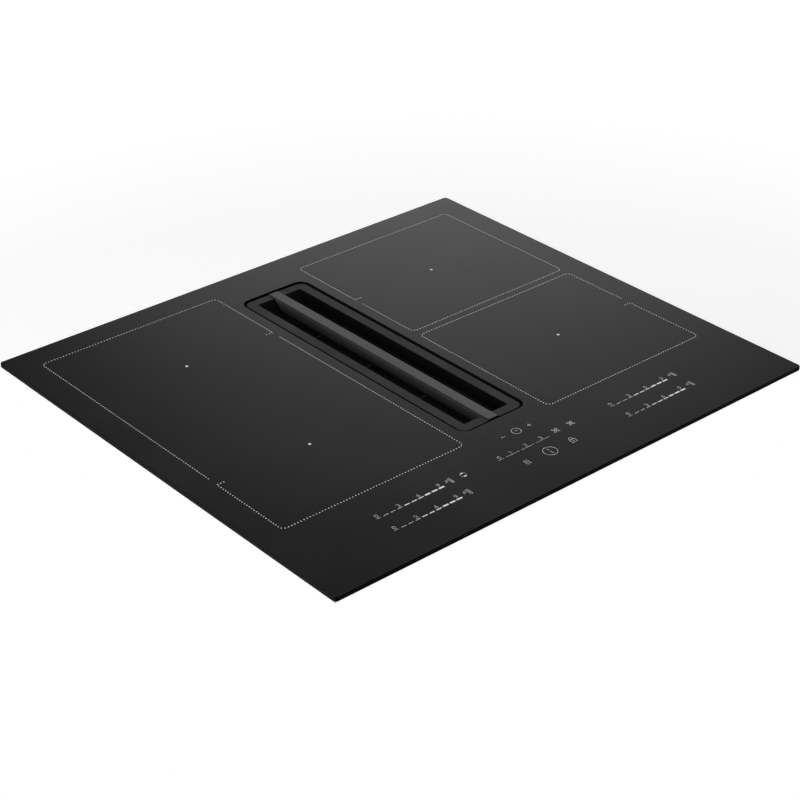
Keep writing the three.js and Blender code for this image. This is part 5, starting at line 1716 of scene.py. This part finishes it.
@dataclass
class Impeller:
    """The suction impeller: curved blades between a cupped back plate and a ring."""

    axis: Plan = (112.15, -18.42)
    blade_inner: float = 68.0
    blade_outer: float = 84.5
    blade_low: float = 14.0
    blade_top: float = 68.0
    blade: float = 1.4
    sweep: float = 12.0
    count: int = 24
    steps: int = 8

    # A blade's thickness at its edges, as a share of its thickest, and how far in it goes
    THINNEST, BLUNT = 0.35, 0.1

    # Pairs of radius and height of the cupped back plate and of the inlet ring
    wheel: Plans = (
        (4.3, 54.0), (34.5, 54.0), (37.0, 53.3), (39.0, 51.5), (41.2, 48.0), (42.0, 44.0), (42.0, 16.5),
        (42.6, 15.4), (44.0, 15.0), (84.6, 15.0), (85.0, 14.6), (85.0, 13.4), (84.6, 13.0),
        (40.0, 13.0), (40.0, 49.0), (37.0, 52.0), (9.0, 52.0), (9.0, 46.0), (4.3, 46.0),
    )
    band: Plans = ((79.3, 66.3), (79.0, 67.0), (79.0, 69.4), (79.6, 70.0), (84.4, 70.0), (85.0, 69.4),
                   (85.0, 66.6), (84.7, 66.3))

    def blade_template(self) -> bpy.types.Object:
        """One blade, swept back and thinner at both edges.

        Returns:
            The blade, standing at the start of the round.
        """
        sections = []
        for z in (self.blade_low, self.blade_top):
            loop = []
            for side, order in ((-1, range(self.steps + 1)), (1, range(self.steps, -1, -1))):
                for step in order:
                    share = step / self.steps
                    radius = self.blade_inner + share * (self.blade_outer - self.blade_inner)
                    swell = math.sin(math.pi * min(max(share, self.BLUNT), 1 - self.BLUNT))
                    thick = self.blade * (self.THINNEST + (1 - self.THINNEST) * swell)
                    angle = math.radians(self.sweep) * share ** 2 + side * thick / 2 / radius
                    loop.append((radius * math.cos(angle), radius * math.sin(angle), z))
            sections.append(loop)
        return loft("blade_template", sections)

    def build(self) -> None:
        """Makes the wheel, its ring and its blades."""
        plastic = Finishes.GREY_PLASTIC
        dress(turned("impeller_wheel", list(self.wheel), self.axis, 72), plastic, "impeller",
              ("impeller",))
        dress(turned("impeller_band", list(self.band), self.axis, 72), plastic, "impeller")
        places = [(*self.axis, 0.0)] * self.count
        blades = scattered("impeller_blades", self.blade_template(), places, plastic,
                           2 * math.pi / self.count)
        dress(blades, plastic, "impeller")


@dataclass
class FanUnit:
    """The fan case under the tray: two halves, volute, inlet plate, outlet, motor, impeller and screws."""

    screw_x: tuple[float, float] = (247.15, -154.0)
    screw_y: tuple[float, float, float] = (-96.85, 33.65, 164.15)
    head_low: float = 72.8
    screw_turn: float = 0.4

    # Pairs of radius and height of a screw, from the end of its shank to the middle of its head
    screw: Plans = ((1.5, 12.0), (1.5, 2.2), (3.4, 2.2), (3.5, 2.0), (3.4, 1.1), (2.9, 0.5),
                    (2.2, 0.15), (1.2, 0.0))

    def screws(self) -> None:
        """Pan-head screws, driven up from below into the case lugs."""
        places = [(x, y, self.head_low) for x in self.screw_x for y in self.screw_y]
        template = turned("screw_template", list(self.screw), steps=24, ring=False)
        made = scattered("case_screws", template, places, Finishes.SPRING, self.screw_turn)
        dress(made, Finishes.SPRING, "hob",
              tuple(f"case_screw_{number + 1}" for number in range(len(places))))

    def build(self) -> None:
        """Makes the whole unit."""
        for node, name, radius, segments in (
                ("fan_case_lower", "case_bottom_half", 0.8, 3), ("fan_case_cover", "case_top_half", 0.8, 3),
                ("volute_insert", "volute_wall", 0.4, 2), ("inlet_plate", "inlet_bell", 0.4, 2),
                ("duct_outlet", "flat_duct_collar", 0.6, 3)):
            Moulding(node, name, Finishes.BLACK_PLASTIC, "hob", "black_plastic", radius, segments).build()
        Moulding("fan_motor", "motor_can", Finishes.ZINC, "hob", "zinc_steel", 0.8).build()
        Moulding("motor_shaft", "ground_shaft", Finishes.SPRING, "impeller", "spring_steel", 0.4).build()
        Impeller().build()
        self.screws()


@dataclass
class MainsTerminal:
    """The terminal box under the tray, with its block and its cable gland."""

    x: float = -219.75
    z: float = 136.0
    rear: float = 194.0
    bore: float = 6.5
    nut_radius: float = 14.0
    neck_radius: float = 11.5
    rib: float = 0.35
    steps: int = 48

    # The gland's hexagons: places behind the box's rear wall, each with its corners' chamfer
    lock_nut: Plans = ((-8.3, 1.4), (-7.6, 0.4), (-3.0, 0.4), (-2.3, 1.4))
    neck: Plans = ((-2.3, 1.6), (0.3, 1.6))
    collar: Plans = ((0.3, 1.4), (1.0, 0.4), (5.6, 0.4), (6.3, 1.4))
    # The dome nut's radii and places, its ribs running out at its mouth
    dome: Plans = ((12.0, 6.3), (12.0, 13.3), (11.3, 15.3), (9.6, 17.1))
    mouth: Plan = (8.0, 18.3)

    def around(self, y: float, reaches: list[float]) -> list[Point]:
        """A loop across the gland's axis.

        Args:
            y: Where it stands, from the box's rear wall.
            reaches: How far from the axis each of its points lies.

        Returns:
            The points.
        """
        turn = 2 * math.pi / len(reaches)
        return [(self.x + reach * math.cos(turn * step), self.rear + y,
                 self.z + reach * math.sin(turn * step)) for step, reach in enumerate(reaches)]

    def hexagon(self, radius: float, y: float, chamfer: float) -> list[Point]:
        """A hexagon across the gland's axis.

        Args:
            radius: Its corner radius.
            y: Where it stands, from the box's rear wall.
            chamfer: How far its corners are turned off.

        Returns:
            The points.
        """
        sixth, reaches = math.pi / 3, []
        for step in range(self.steps):
            angle = 2 * math.pi * step / self.steps
            flat = radius * math.cos(sixth / 2) / math.cos(angle % sixth - sixth / 2)
            reaches.append(min(flat, radius - chamfer))
        return self.around(y, reaches)

    def ribbed(self, radius: float, y: float, depth: float = 0.0) -> list[Point]:
        """A round loop across the gland's axis, with shallow grip ribs.

        Args:
            radius: Its radius on the ribs.
            y: Where it stands, from the box's rear wall.
            depth: How deep it lies between the ribs.

        Returns:
            The points.
        """
        return self.around(y, [radius - (depth if step % 2 else 0.0) for step in range(self.steps)])

    def gland(self) -> None:
        """The gland: lock nut, neck, collar and ribbed dome nut, with its bore open."""
        parts = ((self.nut_radius, self.lock_nut), (self.neck_radius, self.neck),
                 (self.nut_radius, self.collar))
        loops = [self.hexagon(radius, y, chamfer) for radius, part in parts for y, chamfer in part]
        loops += [self.ribbed(radius, y, self.rib) for radius, y in self.dome]
        loops += [self.ribbed(*self.mouth), self.ribbed(self.bore, self.mouth[1]),
                  self.ribbed(self.bore, self.lock_nut[0][0])]
        dress(loft("gland_fitting", loops, ring=True), Finishes.GREY_PLASTIC, "hob",
              ("cable_gland",), 28.0)

    def build(self) -> None:
        """Makes box, cover, block and gland."""
        for node, name, finish, slot, radius, segments in (
                ("terminal_box", "terminal_housing", Finishes.BLACK_PLASTIC, "black_plastic", 0.6, 3),
                ("terminal_cover", "terminal_lid", Finishes.BLACK_PLASTIC, "black_plastic", 0.5, 2),
                ("terminal_block", "terminal_strip", Finishes.THERMOSET, None, 0.5, 2)):
            Moulding(node, name, finish, "hob", slot, radius, segments).build()
        self.gland()


# ---------------------------------------------------------------- studio


@dataclass
class Studio:
    """A pale floor, plain soft light and the camera that looks at the hob from its front left corner."""

    camera_at: Point = (-1144.33, -1320.25, 1194.58)
    camera_towards: Point = (0.565000, 0.651618, -0.506131)
    lens_mm: float = 92.09
    sensor_mm: float = 36.0
    aim_z: float = 210.0
    floor_reach: float = 60000.0
    worktop: float = 206.0
    # The corners that the cards start from, behind on the left, in front on the left and on the right
    card_corners: tuple[Plan, Plan, Plan] = ((-295.2, 260.0), (-295.2, -260.2), (295.0, -260.2))
    card_rise_front: float = 0.78
    card_rise_left: float = 0.98
    card_fade: float = 1.15

    # Distance in metres and glow of the floor, near and far
    paper_near: Plan = (0.8, 0.45)
    paper_far: Plan = (3.0, 1.0)
    # The sky's light, and what the glass mirrors of it: how high it looks and how bright it is there
    sky: float = 0.25
    mirrored_low: Plan = (0.10, 0.9)
    mirrored_high: Plan = (0.25, 0.015)

    def material(self, name: str) -> tuple[bpy.types.Material, bpy.types.NodeTree, bpy.types.Node]:
        """An empty material.

        Args:
            name: Its name.

        Returns:
            The material, its tree and its output.
        """
        made = bpy.data.materials.new(name)
        made.use_nodes = True
        tree = made.node_tree
        tree.nodes.clear()
        return made, tree, add_node(tree, "ShaderNodeOutputMaterial")

    def floor(self) -> None:
        """A floor that the camera sees as bright paper, with the hob's soft shadow on it."""
        paper, tree, leave = self.material("studio_paper")
        seen = add_node(tree, "ShaderNodeBsdfDiffuse", {}, {"Color": linear("e6e6e6")})
        place = add_node(tree, "ShaderNodeTexCoord").outputs["Object"]
        far = add_node(tree, "ShaderNodeVectorMath", {"operation": "LENGTH"}, {0: place})
        rising = add_node(tree, "ShaderNodeMapRange", {}, {
            "Value": far.outputs["Value"], "From Min": self.paper_near[0], "From Max": self.paper_far[0],
            "To Min": self.paper_near[1], "To Max": self.paper_far[1],
        })
        glow = add_node(tree, "ShaderNodeEmission", {}, {
            "Color": linear("ffffff"), "Strength": rising.outputs[0],
        })
        bright = add_node(tree, "ShaderNodeAddShader", {}, {0: seen.outputs[0], 1: glow.outputs[0]})
        dull = add_node(tree, "ShaderNodeBsdfDiffuse", {}, {"Color": linear("dcdcdc")})
        rays = add_node(tree, "ShaderNodeLightPath")
        mixed = add_node(tree, "ShaderNodeMixShader", {}, {
            0: rays.outputs["Is Camera Ray"], 1: dull.outputs[0], 2: bright.outputs[0],
        })
        tree.links.new(mixed.outputs[0], leave.inputs["Surface"])
        reach = self.floor_reach
        sheet = mesh_piece("floor", [(-reach, -reach, 0), (reach, -reach, 0), (reach, reach, 0),
                                     (-reach, reach, 0)], [(0, 1, 2, 3)])
        sheet.data.materials.append(paper)

    def worktop_cards(self) -> None:
        """White cards that stand in for the worktop in front of the glass and to its left.

        They rise outwards from the glass as a steep funnel with soft edges, show only from above and to
        the camera alone, and leave the light as it is.
        """
        card, tree, leave = self.material("worktop_card")
        white = add_node(tree, "ShaderNodeEmission", {}, {"Color": linear("ffffff"), "Strength": 1.0})
        clear = add_node(tree, "ShaderNodeBsdfTransparent")
        rays = add_node(tree, "ShaderNodeLightPath")
        facing = add_node(tree, "ShaderNodeNewGeometry")
        above = add_node(tree, "ShaderNodeMath", {"operation": "SUBTRACT"}, {
            0: rays.outputs["Is Camera Ray"], 1: facing.outputs["Backfacing"],
        })
        cover = add_node(tree, "ShaderNodeAttribute", {"attribute_name": "cover"})
        shown = add_node(tree, "ShaderNodeMath", {"operation": "MULTIPLY"}, {
            0: above.outputs[0], 1: cover.outputs["Fac"],
        })
        mixed = add_node(tree, "ShaderNodeMixShader", {}, {
            0: shown.outputs[0], 1: clear.outputs[0], 2: white.outputs[0],
        })
        tree.links.new(mixed.outputs[0], leave.inputs["Surface"])
        left_back, left_front, right_front = self.card_corners
        # Each rib: where it leaves the glass, how far it runs out, and how white the card is at its end
        ribs = [
            (left_back, (-700.0, -1000.0), 0.0), (left_back, (-700.0, -1246.0), 1.0),
            (left_front, (-700.0, -880.0), 1.0), (right_front, (-1144.0, -880.0), 1.0),
            (right_front, (-900.0, -880.0), 0.0),
        ]
        points: list[Point] = []
        whiteness: list[float] = []
        for (x, y), (run_x, run_y), white_part in ribs:
            rise = self.card_rise_left * -run_x if x < 0 else self.card_rise_front * -run_y
            for part, strength in ((0.0, 1.0), (1.0, white_part), (self.card_fade, 0.0)):
                points.append((x + run_x * part, y + run_y * part, self.worktop + rise * part))
                whiteness.append(strength)
        faces = [(at, at + 3, at + 4, at + 1) for start in range(0, len(points) - 3, 3)
                 for at in (start, start + 1)]
        mesh = bpy.data.meshes.new("worktop_cards")
        mesh.from_pydata([Vector(point) * MM for point in points], [], faces)
        mesh.update()
        mesh.attributes.new("cover", "FLOAT", "POINT").data.foreach_set("value", whiteness)
        for face in mesh.polygons:
            if face.normal.z < 0:
                face.flip()
        sheet = new_object("worktop_cards", mesh)
        mesh.materials.append(card)

    def world(self) -> None:
        """White behind the hob, an even sky for the light, and a dark ceiling for the glass to mirror."""
        sky = bpy.data.worlds.new("studio_sky")
        bpy.context.scene.world = sky
        sky.use_nodes = True
        tree = sky.node_tree
        tree.nodes.clear()
        rays = add_node(tree, "ShaderNodeLightPath")
        way = add_node(tree, "ShaderNodeTexCoord")
        height = add_node(tree, "ShaderNodeSeparateXYZ", {}, {0: way.outputs["Generated"]})
        mirrored = add_node(tree, "ShaderNodeMapRange", {}, {
            "Value": height.outputs["Z"], "From Min": self.mirrored_low[0],
            "From Max": self.mirrored_high[0], "To Min": self.mirrored_low[1],
            "To Max": self.mirrored_high[1],
        })
        lit = add_node(tree, "ShaderNodeMix", {"data_type": "FLOAT"}, {
            "Factor": rays.outputs["Is Glossy Ray"], "A": self.sky, "B": mirrored.outputs[0],
        })
        shown = add_node(tree, "ShaderNodeMix", {"data_type": "FLOAT"}, {
            "Factor": rays.outputs["Is Camera Ray"], "A": lit.outputs[0], "B": 1.0,
        })
        glow = add_node(tree, "ShaderNodeBackground", {}, {
            "Color": linear("ffffff"), "Strength": shown.outputs[0],
        })
        leave = add_node(tree, "ShaderNodeOutputWorld")
        tree.links.new(glow.outputs[0], leave.inputs["Surface"])

    def softbox(self, name: str, place: Point, size: Plan, radiance: float, round_edge: bool) -> None:
        """An area lamp aimed at the middle of the glass.

        Args:
            name: The lamp's name.
            place: Its middle, in millimetres.
            size: Its width and height, in millimetres.
            radiance: How bright its face is, where 1 is white.
            round_edge: Whether it is an ellipse.
        """
        lamp = bpy.data.lights.new(name, "AREA")
        lamp.shape = "ELLIPSE" if round_edge else "RECTANGLE"
        lamp.size, lamp.size_y = size[0] * MM, size[1] * MM
        area = lamp.size * lamp.size_y * (math.pi / 4 if round_edge else 1.0)
        lamp.energy = radiance * math.pi * area
        made = bpy.data.objects.new(name, lamp)
        bpy.context.scene.collection.objects.link(made)
        made.location = Vector(place) * MM
        aim = Vector((0, 0, self.aim_z)) * MM - made.location
        made.rotation_euler = aim.to_track_quat("-Z", "Y").to_euler()
        made.visible_camera = False

    def lamps(self) -> None:
        """A broad softbox overhead, one low behind to the right, and a faint one on the left."""
        self.softbox("softbox_above", (-600, -800, 4000), (4200, 4200), 1.4, False)
        self.softbox("softbox_back_right", (6450, 7035, 2990), (5000, 3600), 1.3, True)
        self.softbox("softbox_left", (-3600, 600, 1500), (3500, 2400), 1.3, False)

    def camera(self) -> None:
        """Sets up the camera."""
        lens = bpy.data.cameras.new("camera")
        lens.lens = self.lens_mm
        lens.sensor_width = self.sensor_mm
        made = bpy.data.objects.new("camera", lens)
        bpy.context.scene.collection.objects.link(made)
        made.location = Vector(self.camera_at) * MM
        made.rotation_euler = Vector(self.camera_towards).to_track_quat("-Z", "Y").to_euler()
        bpy.context.scene.camera = made

    def build(self) -> None:
        """Sets the whole stage."""
        self.floor()
        self.worktop_cards()
        self.world()
        self.lamps()
        self.camera()
        bpy.context.scene.view_settings.view_transform = "Standard"


# ---------------------------------------------------------------- the whole hob


def main() -> None:
    """Builds the stage and every assembly, in the order in which the hob is put together."""
    logging.basicConfig(level=logging.INFO, format="%(message)s")
    for assembly in (Studio, GlassPane, ScreenPrint, VentGrille, GreaseFilter, SuctionWell, SpillTray,
                     HobTray, CoilBay, PowerStage, ControlUnit, FanUnit, MainsTerminal):
        assembly().build()
    bare = [name for name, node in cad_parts.items() if not node.hide_render]
    LOG.info("nodes shown as they are: %s", ", ".join(bare) or "none")


if __name__ == "__main__":
    main()
